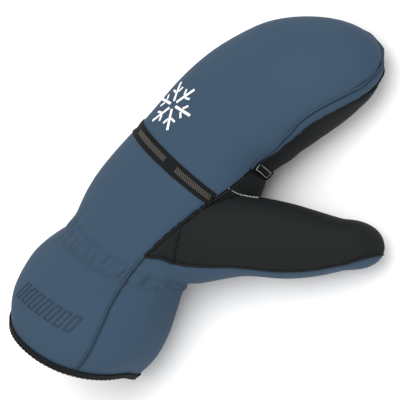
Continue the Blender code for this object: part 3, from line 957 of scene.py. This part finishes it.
softshell = cloth_finish(
    "softshell", (0.0262, 0.0493, 0.0801), (0.0362, 0.0662, 0.1055), roughness=0.85, sheen=0.03,
    pattern=(weave, {"Threads_per_metre": 800.0}), distance=0.00006, painted_seam_shade=0.45,
)
grip_cloth = cloth_finish(
    "grip_cloth", (0.0040, 0.0052, 0.0055), (0.0077, 0.0092, 0.0098), roughness=0.70, sheen=0.0,
    pattern=(grain, {"Pebbles_per_metre": 900.0}), distance=0.00010, painted_seam_shade=0.5,
)
fleece = cloth_finish(
    "fleece_lining", (0.0092, 0.0108, 0.0131), (0.0308, 0.0347, 0.0400), roughness=0.95, sheen=0.25,
    pattern=(grain, {"Pebbles_per_metre": 380.0}), distance=0.00060, painted_seam_shade=0.6,
)

# %% [markdown]
# Four panels are blue and three are black, and all are lined with the same fleece. A face
# that was marked as lining keeps its fleece only if it looks at another wall of the mitten,
# which takes away stray marks on the outside, at the hood's tip.

# %% Give every panel its cloth
BLUE_PANELS = ("back_cloth", "side_cloth", "hood_back_cloth", "hood_strip_cloth")
OFF_FACE = 0.001


def inside(face):
    """Whether a face looks at another wall, and not out of the mitten."""
    start = face.center + face.normal * OFF_FACE
    return cloth.ray_cast(start, face.normal, FAR_OUT)[0] is not None


for name, panel in panels.items():
    blue = name in BLUE_PANELS
    kept = [face.material_index if inside(face) else 0 for face in panel.data.polygons]
    panel.data.materials.clear()
    panel.data.materials.append(softshell if blue else grip_cloth)
    panel.data.materials.append(fleece)
    panel.data.polygons.foreach_set("material_index", kept)
print("finished", len(panels), "panels")

# %% [markdown]
# Webbing is black tape, and its ribs are painted lighter on top: a painted highlight where
# they catch a little light. Threads and prints are plain: one colour that varies a little, so
# one function makes them all from a table, with the dark lines of painted shade in the seams.
# Each row of the table gives the dark and the light colour, the roughness and the height of
# the bumps.

# %% Webbing, threads and print
RIB_PAINTED_HIGHLIGHT = 0.3


def tape_finish(name, dark, light, roughness, distance):
    """Woven tape, whose ribs follow its own UV map and are painted lighter on top, a painted
    highlight.
    """
    made, tree, shader = start_finish(name, roughness)
    unwrapped = add_node(tree, "ShaderNodeUVMap", uv_map="tape").outputs["UV"]
    rise = place_group(tree, tape, Vector=unwrapped)["Height"]
    uneven = place_group(tree, dye, Vector=object_places(tree))
    # Painted highlight: the colour grows lighter where the ribs rise.
    share = maths(tree, "MULTIPLY_ADD", rise, RIB_PAINTED_HIGHLIGHT, uneven["Fibres"])
    tree.links.new(mixed(tree, share, (*dark, 1), (*light, 1)), shader.inputs["Base Color"])
    bumped(tree, shader, rise, distance)
    return made


def plain_finish(name, dark, light, roughness, distance):
    """Thread, print, painted seam shade: one colour that varies a little, with a fine uneven height.
    """
    made, tree, shader = start_finish(name, roughness)
    uneven = place_group(tree, dye, Vector=object_places(tree), Fibres_per_metre=2500.0)
    tree.links.new(mixed(tree, uneven["Fibres"], (*dark, 1), (*light, 1)), shader.inputs["Base Color"])
    bumped(tree, shader, uneven["Fibres"], distance)
    return made


PLAIN_FINISHES = {
    # Painted shade: the first row is the dark line in the blue seams, and the black row, also used for
    # stitches, is the line in the black seams.
    "painted_seam_shade_line": ((0.0062, 0.0108, 0.0169), (0.0108, 0.0185, 0.0277), 0.85, 0.00005),
    "black_thread_and_seam_shade": ((0.0046, 0.0054, 0.0062), (0.0100, 0.0108, 0.0115), 0.85, 0.00005),
    "blue_thread": ((0.0537, 0.0790, 0.1105), (0.0695, 0.0978, 0.1326), 0.7, 0.00005),
    "grey_thread": ((0.2772, 0.2926, 0.3003), (0.3619, 0.3773, 0.3850), 0.7, 0.00005),
    "white_print": ((0.7600, 0.7600, 0.7600), (0.8360, 0.8360, 0.8360), 0.5, 0.00003),
    "tape_print": ((0.0655, 0.0601, 0.0508), (0.0924, 0.0847, 0.0732), 0.6, 0.00003),
    "pressed_print": ((0.0139, 0.0262, 0.0423), (0.0200, 0.0354, 0.0554), 0.5, 0.00004),
}
webbing = tape_finish(
    "black_webbing_tape", (0.0025, 0.0031, 0.0037), (0.0074, 0.0080, 0.0092),
    roughness=0.8, distance=0.00012,
)
plain = {name: plain_finish(name, *row) for name, row in PLAIN_FINISHES.items()}
print("made the webbing and", len(plain), "plain finishes")

# %% [markdown]
# ## Tapes
#
# The band over the knuckles, the tab at the side and the binding of the hem are woven tape.
# Each starts from its solid: the sharp edges are bevelled, because a tape's edge is folded
# thread and never square, and one subdivision rounds it along its length. A lane is the line
# that a tape follows, with its direction, its side and its upward direction at each step. It
# gives the tape's UV map, and later the places of stitches and print on it.

# %% A lane along a line on the cloth
Lane = namedtuple("Lane", "places aheads asides ups runs")


def lane_along(line, normal_at):
    """Directions and lengths along a line, with up taken from what it lies on."""
    places, aheads, asides, ups, runs = [], [], [], [], [0.0]
    for number, place in enumerate(line):
        ahead = (line[min(number + 1, len(line) - 1)] - line[max(number - 1, 0)]).normalized()
        up = normal_at(place)
        aside = up.cross(ahead).normalized()
        places.append(place)
        aheads.append(ahead)
        asides.append(aside)
        ups.append(ahead.cross(aside).normalized())
        if number:
            runs.append(runs[-1] + (place - line[number - 1]).length)
    return Lane(places, aheads, asides, ups, runs)


def steadied(lane, passes):
    """The same lane with its upward directions evened out."""
    ups = lane.ups
    for _ in range(passes):
        ups = [
            (ups[max(k - 1, 0)] + 2 * ups[k] + ups[min(k + 1, len(ups) - 1)]).normalized()
            for k in range(len(ups))
        ]
    asides = [up.cross(ahead).normalized() for up, ahead in zip(ups, lane.aheads)]
    return lane._replace(ups=ups, asides=asides)


def on_lane(lane, run, aside=0.0, up=0.0):
    """A place on the lane, and its directions as a matrix."""
    run = min(max(run, 0.0), lane.runs[-1] - 1e-9)
    k = max(i for i in range(len(lane.runs) - 1) if lane.runs[i] <= run)
    t = (run - lane.runs[k]) / (lane.runs[k + 1] - lane.runs[k])
    ahead = lane.aheads[k].lerp(lane.aheads[k + 1], t).normalized()
    raised = lane.ups[k].lerp(lane.ups[k + 1], t).normalized()
    sideways = raised.cross(ahead).normalized()
    place = lane.places[k].lerp(lane.places[k + 1], t) + sideways * aside + raised * up
    turned = Matrix((ahead, sideways, ahead.cross(sideways))).transposed().to_4x4()
    return place, Matrix.Translation(place) @ turned


# %% Make a tape from its solid
TAPE_SMOOTHING_PASSES = 3
TAPE_LINE_SMOOTHING = 2


def soften_edges(piece, width):
    """Adds a small bevel to a piece's sharp edges."""
    bevel = piece.modifiers.new("soft edge", "BEVEL")
    bevel.width = width
    bevel.segments = 2
    bevel.limit_method = "ANGLE"
    bevel.angle_limit = RIM_ANGLE


def tape_from(node, name, bevel, levels):
    """The solid's skin with rounded edges."""
    piece = skin_of(node, name)
    soften_edges(piece, bevel)
    subdivision = piece.modifiers.new("smooth run", "SUBSURF")
    subdivision.levels = subdivision.render_levels = levels
    finish_modifiers(piece)
    bpy.ops.object.shade_smooth()
    return piece


def settled(piece, thickness):
    """Lays a tape's inner side on the cloth, and its outer side one thickness over it."""
    for corner in piece.data.vertices:
        place, normal = nearest_cloth(corner.co)
        height = thickness if corner.normal.dot(normal) > 0 else 0.0
        corner.co += normal * (height - (corner.co - place).dot(normal))
    even = piece.modifiers.new("evened", "SMOOTH")
    even.factor = SMOOTHING
    even.iterations = TAPE_SMOOTHING_PASSES
    finish_modifiers(piece)


def unwrap_along(piece, lane):
    """A UV map in metres: along the lane, and across it."""
    tree = tree_of(lane.places)
    layer = piece.data.uv_layers.new(name="tape")
    found = []
    for corner in piece.data.vertices:
        k = tree.find(corner.co)[1]
        offset = corner.co - lane.places[k]
        found.append((lane.runs[k] + offset.dot(lane.aheads[k]), offset.dot(lane.asides[k])))
    for loop in piece.data.loops:
        layer.data[loop.index].uv = found[loop.vertex_index]


def dress(piece, finish, slot, *nodes):
    """Gives a piece its finish and its place in the frame."""
    piece.data.materials.clear()
    piece.data.materials.append(finish)
    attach(piece, "root")
    if nodes:
        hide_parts(*nodes)
    return piece


def ring_line(tree, row, start, end, count):
    """A line round the mitten on one slanted cut, on whatever the tree holds."""
    centre = middle_of(row)
    found = []
    for number in range(count + 1):
        out = outward(row, math.radians(start + (end - start) * number / count))
        place = tree.ray_cast(centre + out * FAR_OUT, -out, FAR_OUT)[0]
        if place:
            found.append(place)
    return found


def line_over(piece, row, start, end, count):
    """The part of a ring that lies on one piece, as an even line."""
    ring = ring_line(tree_over([piece]), row, start, end, count)
    return evenly(smoothed(ring, TAPE_LINE_SMOOTHING), SEAM_STEP)


# %% [markdown]
# The hem's binding stays as its solid is. The band is laid close on the cloth, because the
# cloth has moved a little since the solid. The tab is sewn a little nearer to the fingertips
# than its solid, more at its upper end, so its points are moved before it is laid down.

# %% The knuckle band, the side tab and the hem's binding
BAND_ROW = WristRow(0.00331, -0.04202, math.radians(5.5), -0.05, 0.0268)
TAB_ROW = WristRow(0.03416, -0.04548, math.radians(1.0), 0.0, 0.0254)
HEM_ROW = WristRow(-0.12440, -0.01405, math.radians(9.5), -0.51, 0.0325)
BAND_THICKNESS = 0.0007
TAB_THICKNESS = 0.0009
TAB_SHIFTS = (0.0046, 0.0017, 0.0008)
TAB_REACH = 0.0180

band = tape_from("knuckle_band", "knuckle_band_tape", bevel=0.00025, levels=2)
settled(band, BAND_THICKNESS)
tab = tape_from("side_tab", "side_tab_tape", bevel=0.00030, levels=2)
binding = tape_from("cuff_binding", "hem_binding_tape", bevel=0.00030, levels=1)


def up_from(piece):
    """A function that gives the upward direction at a place on one piece."""
    tree = tree_over([piece])
    return lambda place: tree.find_nearest(place)[1]


band_line = line_over(band, BAND_ROW, start=20, end=200, count=240)
band_lane = steadied(lane_along(band_line, up_from(band)), passes=6)
first_lane = lane_along(line_over(tab, TAB_ROW, start=60, end=-80, count=240), up_from(tab))
first_tree = tree_of(first_lane.places)


def shift_of(place):
    """How much nearer to the fingertips the tab is sewn, more at its upper end."""
    share = first_lane.runs[first_tree.find(place)[1]] / TAB_REACH
    upper, edge, under = TAB_SHIFTS
    shift = upper + (edge - upper) * share if share < 1 else edge + (under - edge) * min(share - 1, 1)
    return Vector((0, shift, 0))


for corner in tab.data.vertices:
    corner.co += shift_of(corner.co)
settled(tab, TAB_THICKNESS)
tab_top = tree_over([tab])
moved = [tab_top.find_nearest(place + shift_of(place))[0] for place in first_lane.places]
tab_line = evenly(smoothed(moved, TAPE_LINE_SMOOTHING), SEAM_STEP)
tab_lane = steadied(lane_along(tab_line, up_from(tab)), passes=4)
hem_line = line_over(binding, HEM_ROW, start=-90, end=270, count=400)
hem_lane = steadied(lane_along(hem_line, up_from(binding)), passes=2)
for piece, lane, node in (
    (band, band_lane, "knuckle_band"),
    (tab, tab_lane, "side_tab"),
    (binding, hem_lane, "cuff_binding"),
):
    unwrap_along(piece, lane)
    dress(piece, webbing, "black_webbing", node)
    print(piece.name, round(lane.runs[-1], 4), "m long,", len(piece.data.polygons), "faces")

# %% [markdown]
# ## The liner in the cuff
#
# Where a hand goes in, the mouth shows the liner: one tube of fleece from the hem to past the
# wrist, loose inside the outer cloth. It starts as a flat grid. One side of the grid becomes
# the way round and the other the way in, and each point is set by a ray from the middle of
# the cuff to its inner wall. Where a ray slips through a seam, its neighbours' reach is used.

# %% Set the liner against the inner wall
LINER_AROUND = 96
LINER_ROWS = 24
LINER_SHARES = (0.05, 1.08)
LINER_GAP = 0.0004
LINER_THICKNESS = 0.0008
SLIP_NEIGHBOURS = range(-4, 5)
SLIP_RANK = 3
EVEN_NEIGHBOURS = range(-2, 3)
WELD_REACH = 0.00001


def between_rows(share):
    """A slanted cut between the hem and the wrist's upper row."""
    return WristRow(*(low + (high - low) * share for low, high in zip(HEM_ROW, UPPER_ROW)))


def liner_ring(row):
    """Places on the inner wall, with slipped rays evened out."""
    centre, around = middle_of(row), range(LINER_AROUND)
    outs = [outward(row, FULL_TURN * number / LINER_AROUND) for number in around]
    hits = [cloth.ray_cast(centre, out, FAR_OUT)[0] for out in outs]
    reach = [(hit - centre).length if hit else FAR_OUT for hit in hits]
    steady = [
        sorted(reach[(k + step) % LINER_AROUND] for step in SLIP_NEIGHBOURS)[SLIP_RANK]
        for k in around
    ]
    even = [
        sum(steady[(k + step) % LINER_AROUND] for step in EVEN_NEIGHBOURS) / len(EVEN_NEIGHBOURS)
        for k in around
    ]
    return [centre + out * (min(far, near) - LINER_GAP) for out, far, near in zip(outs, even, reach)]


bpy.ops.object.select_all(action="DESELECT")
bpy.ops.mesh.primitive_grid_add(x_subdivisions=LINER_AROUND, y_subdivisions=LINER_ROWS, size=1)
liner = bpy.context.object
liner.name = liner.data.name = "cuff_liner"
lowest, highest = LINER_SHARES
rings = [
    liner_ring(between_rows(lowest + (highest - lowest) * number / LINER_ROWS))
    for number in range(LINER_ROWS + 1)
]
for corner in liner.data.vertices:
    around = round((corner.co.x + 0.5) * LINER_AROUND) % LINER_AROUND
    corner.co = rings[round((corner.co.y + 0.5) * LINER_ROWS)][around]
pick(liner)
weld = liner.modifiers.new("closed round", "WELD")
weld.merge_threshold = WELD_REACH
cloth_thickness = liner.modifiers.new("fleece", "SOLIDIFY")
cloth_thickness.thickness = LINER_THICKNESS
cloth_thickness.offset = 0.0
finish_modifiers(liner)
bpy.ops.object.shade_smooth()
dress(liner, fleece, "blue_softshell")
print("liner of", len(liner.data.polygons), "faces")

# %% [markdown]
# ## Cords and painted shade lines in the seams
#
# From outside, a turned seam shows as a thin dark line, the shade where two cloths dive
# towards each other. Inside it lies the seam's own folded edge. A round cord in the cloth's
# colour stands for that fold and fills the valley, and a thinner dark cord on it paints the
# shade as a line: a very fine one between two blue cloths, and a thicker black one, half
# sunk, at the black cloths' edges. A cord is a curve with a round section, turned into a mesh
# once it is in place.

# %% Lay a cord along a line
def cord_along(name, line, radius, finish, slot):
    """A thin round cord, as a closed mesh."""
    curve = bpy.data.curves.new(name, "CURVE")
    curve.dimensions = "3D"
    curve.bevel_depth = radius
    curve.bevel_resolution = 2
    curve.use_fill_caps = True
    spline = curve.splines.new("POLY")
    spline.points.add(len(line) - 1)
    for point, place in zip(spline.points, line):
        point.co = (*place, 1)
    made = bpy.data.objects.new(name, curve)
    bpy.context.scene.collection.objects.link(made)
    pick(made)
    bpy.ops.object.convert(target="MESH")
    made = bpy.context.object
    made.name = made.data.name = name
    bpy.ops.object.shade_smooth()
    return dress(made, finish, slot)


# %% The seams' cords
FOLD_CORD = 0.00095
FOLD_SINK = 0.00085
SEAM_CORD = 0.00028
SEAM_RISE = 0.00002
EDGE_CORD = 0.00060
EDGE_SINK = 0.00045
BLUE_SEAMS = ("back_seam", "hood_upper_seam")


def sunken(line, depth, radius):
    """The same line lower in the cloth, but not through the floor."""
    places = [place - away_from_middle(place) * depth for place in line]
    return [Vector((place.x, place.y, max(place.z, radius))) for place in places]


for name, lines in seam_lines.items():
    blue = name in BLUE_SEAMS
    slot = "blue_softshell" if blue else "black_grip"
    # Painted shade: the dark cord draws the shade line where the two cloths dive.
    shade_line_finish = plain["painted_seam_shade_line" if blue else "black_thread_and_seam_shade"]
    sink, radius = (-SEAM_RISE, SEAM_CORD) if blue else (EDGE_SINK, EDGE_CORD)
    for number, line in enumerate(lines):
        fold = sunken(line, FOLD_SINK, FOLD_CORD)
        cord_along(f"{name}_{number}_fold", fold, FOLD_CORD, softshell if blue else grip_cloth, slot)
        cord_along(f"{name}_{number}", sunken(line, sink, radius), radius, shade_line_finish, slot)
print("laid", sum(len(lines) for lines in seam_lines.values()), "seam cords")

# %% [markdown]
# ## One stitch, and rows of them
#
# A stitch is a short length of thread that comes up through the cloth and goes down again.
# It starts as a hexagon, which is extruded along a low arch and is thinner at its ends. Once
# that single stitch is right, rows are made of copies of it, each turned to its own place.

# %% Model one stitch
Station = namedtuple("Station", "along grown height")
STITCH_STATIONS = (
    Station(-0.5, 0.45, -0.6),
    Station(-0.36, 0.9, 0.45),
    Station(0.0, 1.0, 1.0),
    Station(0.36, 0.9, 0.45),
    Station(0.5, 0.45, -0.6),
)


def arched_stitch(length, radius, rise):
    """A stitch along X on the origin, arched upwards."""
    bpy.ops.object.select_all(action="DESELECT")
    bpy.ops.mesh.primitive_circle_add(
        vertices=6, radius=radius, fill_type="NGON", rotation=(0, math.pi / 2, 0)
    )
    made = bpy.context.object
    pick(made)
    bpy.ops.object.transform_apply(location=True, rotation=True, scale=True)
    first = STITCH_STATIONS[0]
    for corner in made.data.vertices:
        corner.co *= first.grown
        corner.co += Vector((first.along * length, 0, first.height * rise))
    bpy.ops.object.mode_set(mode="EDIT")
    bpy.ops.mesh.select_all(action="SELECT")
    for before, after in zip(STITCH_STATIONS, STITCH_STATIONS[1:]):
        move = ((after.along - before.along) * length, 0, (after.height - before.height) * rise)
        bpy.ops.mesh.extrude_region_move(TRANSFORM_OT_translate={"value": move})
        grow = after.grown / before.grown
        centre = (after.along * length, 0, after.height * rise)
        bpy.ops.transform.resize(value=(1, grow, grow), center_override=centre)
    bpy.ops.mesh.select_all(action="SELECT")
    bpy.ops.mesh.normals_make_consistent(inside=False)
    bpy.ops.object.mode_set(mode="OBJECT")
    return made


def joined(name, pieces):
    """Several objects as one."""
    bpy.ops.object.select_all(action="DESELECT")
    for piece in pieces:
        piece.select_set(True)
    bpy.context.view_layer.objects.active = pieces[0]
    if len(pieces) > 1:
        bpy.ops.object.join()
    made = bpy.context.object
    made.name = made.data.name = name
    bpy.ops.object.shade_smooth()
    return made


def copies_at(name, model, places):
    """One object made of copies of a model, one for each place given as a matrix."""
    copies = []
    for number, place in enumerate(places):
        copy = bpy.data.objects.new(f"{name}_{number}", model.data.copy())
        copy.data.transform(place)
        bpy.context.scene.collection.objects.link(copy)
        copies.append(copy)
    return joined(name, copies)


# %% Lay a row of stitches
Stitch = namedtuple("Stitch", "length gap radius")
STITCH_RISE = 0.7


def stitch_row(name, lane, stitch, finish, slot, aside=0.0, start=0.0, end=None, up=0.0):
    """A row of stitches along a lane, at a distance to one side of it."""
    end = lane.runs[-1] if end is None else end
    length, gap, radius = stitch
    count = max(int((end - start + gap) / (length + gap)), 1)
    pitch = (end - start + gap) / count
    model = arched_stitch(pitch - gap, radius, radius * STITCH_RISE)
    middles = [start + pitch * (n + 0.5) - gap / 2 for n in range(count)]
    row = copies_at(name, model, [on_lane(lane, run, aside, up)[1] for run in middles])
    bpy.data.objects.remove(model)
    print(name, count, "stitches,", len(row.data.polygons), "faces")
    return dress(row, finish, slot)


def cloth_up(place):
    """The cloth's own direction at a place."""
    return nearest_cloth(place)[1]


# %% [markdown]
# The wrist's elastic is held by two rows of blue thread that run all the way round. A grey
# curved row closes the seam between the palm and the thumb's root, and a grey border holds
# the side tab.

# %% Stitches on the cloth
WRIST_RAYS = 160
WRIST_STITCH = Stitch(length=0.0024, gap=0.0004, radius=0.00022)

for name, row in (("wrist_lower_stitches", LOWER_ROW), ("wrist_upper_stitches", UPPER_ROW)):
    ring = evenly(smoothed(wrist_ring(row, WRIST_RAYS), passes=1), SEAM_STEP)
    lane = steadied(lane_along(ring, cloth_up), passes=4)
    stitch_row(name, lane, WRIST_STITCH, plain["blue_thread"], "blue_softshell")

# %% The grey row at the thumb's root
THUMB_ROOT_LINE = (
    (228.5, 188.0), (232.5, 191.2), (236.5, 193.2), (241.5, 195.2),
    (247.0, 196.5), (253.0, 197.4), (258.5, 197.9),
)
DRAWN_STEP = 0.001
ROOT_STITCH = Stitch(length=0.0016, gap=0.0004, radius=0.00034)
ROOT_STITCH_UP = 0.0002
ROOT_RIDGE = 0.0003
ROOT_RIDGE_SINK = 0.0001

root_line = line_through(THUMB_ROOT_LINE, DRAWN_STEP)
root_lane = steadied(lane_along(root_line, cloth_up), passes=6)
ridge = [place - up * ROOT_RIDGE_SINK for place, up in zip(root_lane.places, root_lane.ups)]
cord_along("thumb_root_ridge", ridge, ROOT_RIDGE, plain["grey_thread"], "black_grip")
stitch_row(
    "thumb_root_stitches", root_lane, ROOT_STITCH, plain["grey_thread"], "black_grip",
    up=ROOT_STITCH_UP,
)

# %% [markdown]
# The tapes are sewn on as well. The tab has a row along each side and one across each end,
# the band a fine black row along each edge, and the hem's binding one row all round. Where
# the hem lies on the table, its stitches are pressed flat.

# %% Stitches on the tapes
TAB_WIDTH = 0.0052
TAB_INSET = 0.0005
TAB_EDGE = 0.0009
TAB_SIDE_STITCH = Stitch(length=0.0014, gap=0.0002, radius=0.00026)
TAB_END_STITCH = Stitch(length=0.0011, gap=0.0002, radius=0.00026)
BAND_WIDTH = 0.0088
BAND_INSET = 0.0011
BAND_STITCH = Stitch(length=0.0022, gap=0.0007, radius=0.00018)
HEM_ASIDE = 0.0010
HEM_STITCH = Stitch(length=0.0024, gap=0.0008, radius=0.00018)
WEBBING = "black_webbing"

edge = TAB_WIDTH / 2 - TAB_INSET
for number, aside in enumerate((-edge, edge)):
    stitch_row(
        f"tab_side_stitches_{number}", tab_lane, TAB_SIDE_STITCH, plain["grey_thread"], WEBBING,
        aside, TAB_EDGE, TAB_REACH,
    )
for number, side in enumerate((-1, 1)):
    stitch_row(
        f"band_edge_stitches_{number}", band_lane, BAND_STITCH, plain["black_thread_and_seam_shade"], WEBBING,
        side * (BAND_WIDTH / 2 - BAND_INSET),
    )
for number, run in enumerate((TAB_EDGE, TAB_REACH)):
    across = [on_lane(tab_lane, run, edge * share / 4)[0] for share in range(-4, 5)]
    lane = lane_along(across, up_from(tab))
    stitch_row(f"tab_end_stitches_{number}", lane, TAB_END_STITCH, plain["grey_thread"], WEBBING)
hem_row = stitch_row("hem_stitches", hem_lane, HEM_STITCH, plain["black_thread_and_seam_shade"], WEBBING, HEM_ASIDE)
for corner in hem_row.data.vertices:
    corner.co.z = max(corner.co.z, 0.0)

# %% [markdown]
# ## Prints that follow the cloth
#
# A print is a thin film on the cloth. Each of its shapes starts as a flat plane that stands
# over the cloth, is subdivided so that it can bend, and is then projected down onto the cloth
# with a Shrinkwrap. A Solidify gives the film its thickness, and a small bevel its soft edge.

# %% Press a flat shape onto the cloth
PRINT_HOVER = 0.002
PRINT_SINK = 0.00005
PRINT_STEP = 0.0009


def pressed_onto(piece, turned, target, thickness, bevel):
    """Projects a flat piece from its place down onto a target and thickens it."""
    piece.matrix_world = turned
    wrap = piece.modifiers.new("onto the cloth", "SHRINKWRAP")
    wrap.target = target
    wrap.wrap_method = "PROJECT"
    wrap.use_project_z = True
    wrap.use_negative_direction = wrap.use_positive_direction = True
    wrap.offset = -PRINT_SINK
    film = piece.modifiers.new("film", "SOLIDIFY")
    film.thickness = thickness + PRINT_SINK
    film.offset = 1.0
    soften_edges(piece, bevel)
    finish_modifiers(piece)
    bpy.ops.object.transform_apply(location=True, rotation=True, scale=True)
    return piece


def bar(length, width, along, angle, start):
    """A flat bar from a start point, at an angle, subdivided along its length."""
    cuts = max(int(length / PRINT_STEP), 2)
    bpy.ops.mesh.primitive_grid_add(x_subdivisions=cuts, y_subdivisions=2, size=1)
    made = bpy.context.object
    turn = Matrix.Rotation(angle, 4, "Z")
    grown = Matrix.Diagonal((length, width, 1, 1))
    made.data.transform(
        Matrix.Translation(start) @ turn @ Matrix.Translation((along, 0, 0)) @ grown
        @ Matrix.Translation((0.5, 0, 0))
    )
    return made


# %% [markdown]
# The snowflake on the hood has six arms that leave its middle free, each with a pair of
# slanted branches. Its strokes don't touch, as on a print cut from film, so no two of them
# lie in the same plane at one place.

# %% The snowflake on the hood
FLAKE_AT = (173.0, 105.0)
FLAKE_INNER = 0.0030
FLAKE_OUTER = 0.0180
FLAKE_WIDTH = 0.0018
FLAKE_ARMS = 6
FLAKE_TURN = 12
BRANCH_AT = 0.0088
BRANCH_LENGTH = 0.0042
BRANCH_WIDTH = FLAKE_WIDTH * 0.8
BRANCH_TURN = math.radians(50)
FILM = 0.00018
FILM_EDGE = 0.00005

flake_place, flake_up = seen_at(*FLAKE_AT)
flake_ahead = (rightwards - flake_up * rightwards.dot(flake_up)).normalized()
flake_frame = Matrix.Translation(flake_place + flake_up * PRINT_HOVER) @ Matrix(
    (flake_ahead, flake_up.cross(flake_ahead), flake_up)
).transposed().to_4x4()
strokes = []
for arm in range(FLAKE_ARMS):
    turn = math.radians(360 / FLAKE_ARMS * arm + FLAKE_TURN)
    point = Vector((math.cos(turn), math.sin(turn), 0))
    strokes.append(bar(FLAKE_OUTER - FLAKE_INNER, FLAKE_WIDTH, FLAKE_INNER, turn, Vector((0, 0, 0))))
    for side in (-1, 1):
        slant = turn + side * BRANCH_TURN
        strokes.append(bar(BRANCH_LENGTH, BRANCH_WIDTH, FLAKE_WIDTH, slant, point * BRANCH_AT))
for stroke in strokes:
    pressed_onto(stroke, flake_frame, panels["hood_back_cloth"], FILM, FILM_EDGE)
flake = dress(joined("hood_snowflake", strokes), plain["white_print"], "blue_softshell")
print("snowflake of", len(strokes), "strokes,", len(flake.data.polygons), "faces")

# %% [markdown]
# The row of lozenges on the cuff is pressed out of the cloth itself, so it has the cloth's
# blue, a little darker, and shows by its soft edges. Each lozenge is a plane that is inset,
# emptied in its middle, subdivided and slanted.

# %% The pressed lozenges on the cuff
LOZENGE_ROW = ((21.0, 288.0), (33.0, 299.0), (47.0, 309.5), (62.0, 319.0), (78.0, 326.5))
LOZENGES = 7
LOZENGE_WIDTH = 0.0052
LOZENGE_HEIGHT = 0.0125
LOZENGE_RIM = 0.0011
LOZENGE_SLANT = 0.35
PRESS_HEIGHT = 0.00035
PRESS_EDGE = 0.00010


def lozenge():
    """A flat slanted frame round its own middle."""
    bpy.ops.mesh.primitive_plane_add(size=1)
    made = bpy.context.object
    made.data.transform(Matrix.Diagonal((LOZENGE_WIDTH, LOZENGE_HEIGHT, 1, 1)))
    bpy.ops.object.mode_set(mode="EDIT")
    bpy.ops.mesh.select_all(action="SELECT")
    bpy.ops.mesh.inset(thickness=LOZENGE_RIM)
    bpy.ops.mesh.delete(type="FACE")
    bpy.ops.mesh.select_all(action="SELECT")
    bpy.ops.mesh.subdivide(number_cuts=9)
    bpy.ops.object.mode_set(mode="OBJECT")
    for corner in made.data.vertices:
        corner.co.x += corner.co.y * LOZENGE_SLANT
    return made


row_lane = steadied(lane_along(line_through(LOZENGE_ROW, DRAWN_STEP), cloth_up), passes=12)
pitch = row_lane.runs[-1] / LOZENGES
lozenges = []
for number in range(LOZENGES):
    turned = on_lane(row_lane, pitch * (number + 0.5), up=PRINT_HOVER)[1]
    lozenges.append(pressed_onto(lozenge(), turned, panels["back_cloth"], PRESS_HEIGHT, PRESS_EDGE))
row = dress(joined("cuff_lozenges", lozenges), plain["pressed_print"], "blue_softshell")
print(LOZENGES, "lozenges of", len(row.data.polygons), "faces in all")

# %% [markdown]
# The band carries a woven figure in a paler thread, in two stretches. Its zigzags are cords
# that go from edge to edge of the band's middle and lie half sunk in it.

# %% The woven zigzags on the band
FIGURE_STRETCHES = (((144.0, 128.0), (167.0, 158.0)), ((177.0, 168.0), (212.0, 196.0)))
FIGURE_REACH = 0.0019
FIGURE_PITCH = 0.0034
FIGURE_THREAD = 0.00026
FIGURE_RISE = 0.4
FIGURE_STEP = 0.0004

band_tree = tree_of(band_lane.places)
for number, ends in enumerate(FIGURE_STRETCHES):
    first, last = sorted(band_lane.runs[band_tree.find(seen_at(*end)[0])[1]] for end in ends)
    halves = max(round((last - first) / FIGURE_PITCH * 2), 2)
    for side, label in ((-1, "under"), (1, "over")):
        turns = []
        for k in range(halves + 1):
            run = first + (last - first) * k / halves
            aside = side * FIGURE_REACH * (1 if k % 2 else -1)
            turns.append(on_lane(band_lane, run, aside, FIGURE_THREAD * FIGURE_RISE)[0])
        line = evenly(turns, FIGURE_STEP)
        cord_along(f"band_figure_{number}_{label}", line, FIGURE_THREAD, plain["tape_print"], WEBBING)
    print("figure", number, "is", round((last - first) / MILLIMETRE), "mm long")
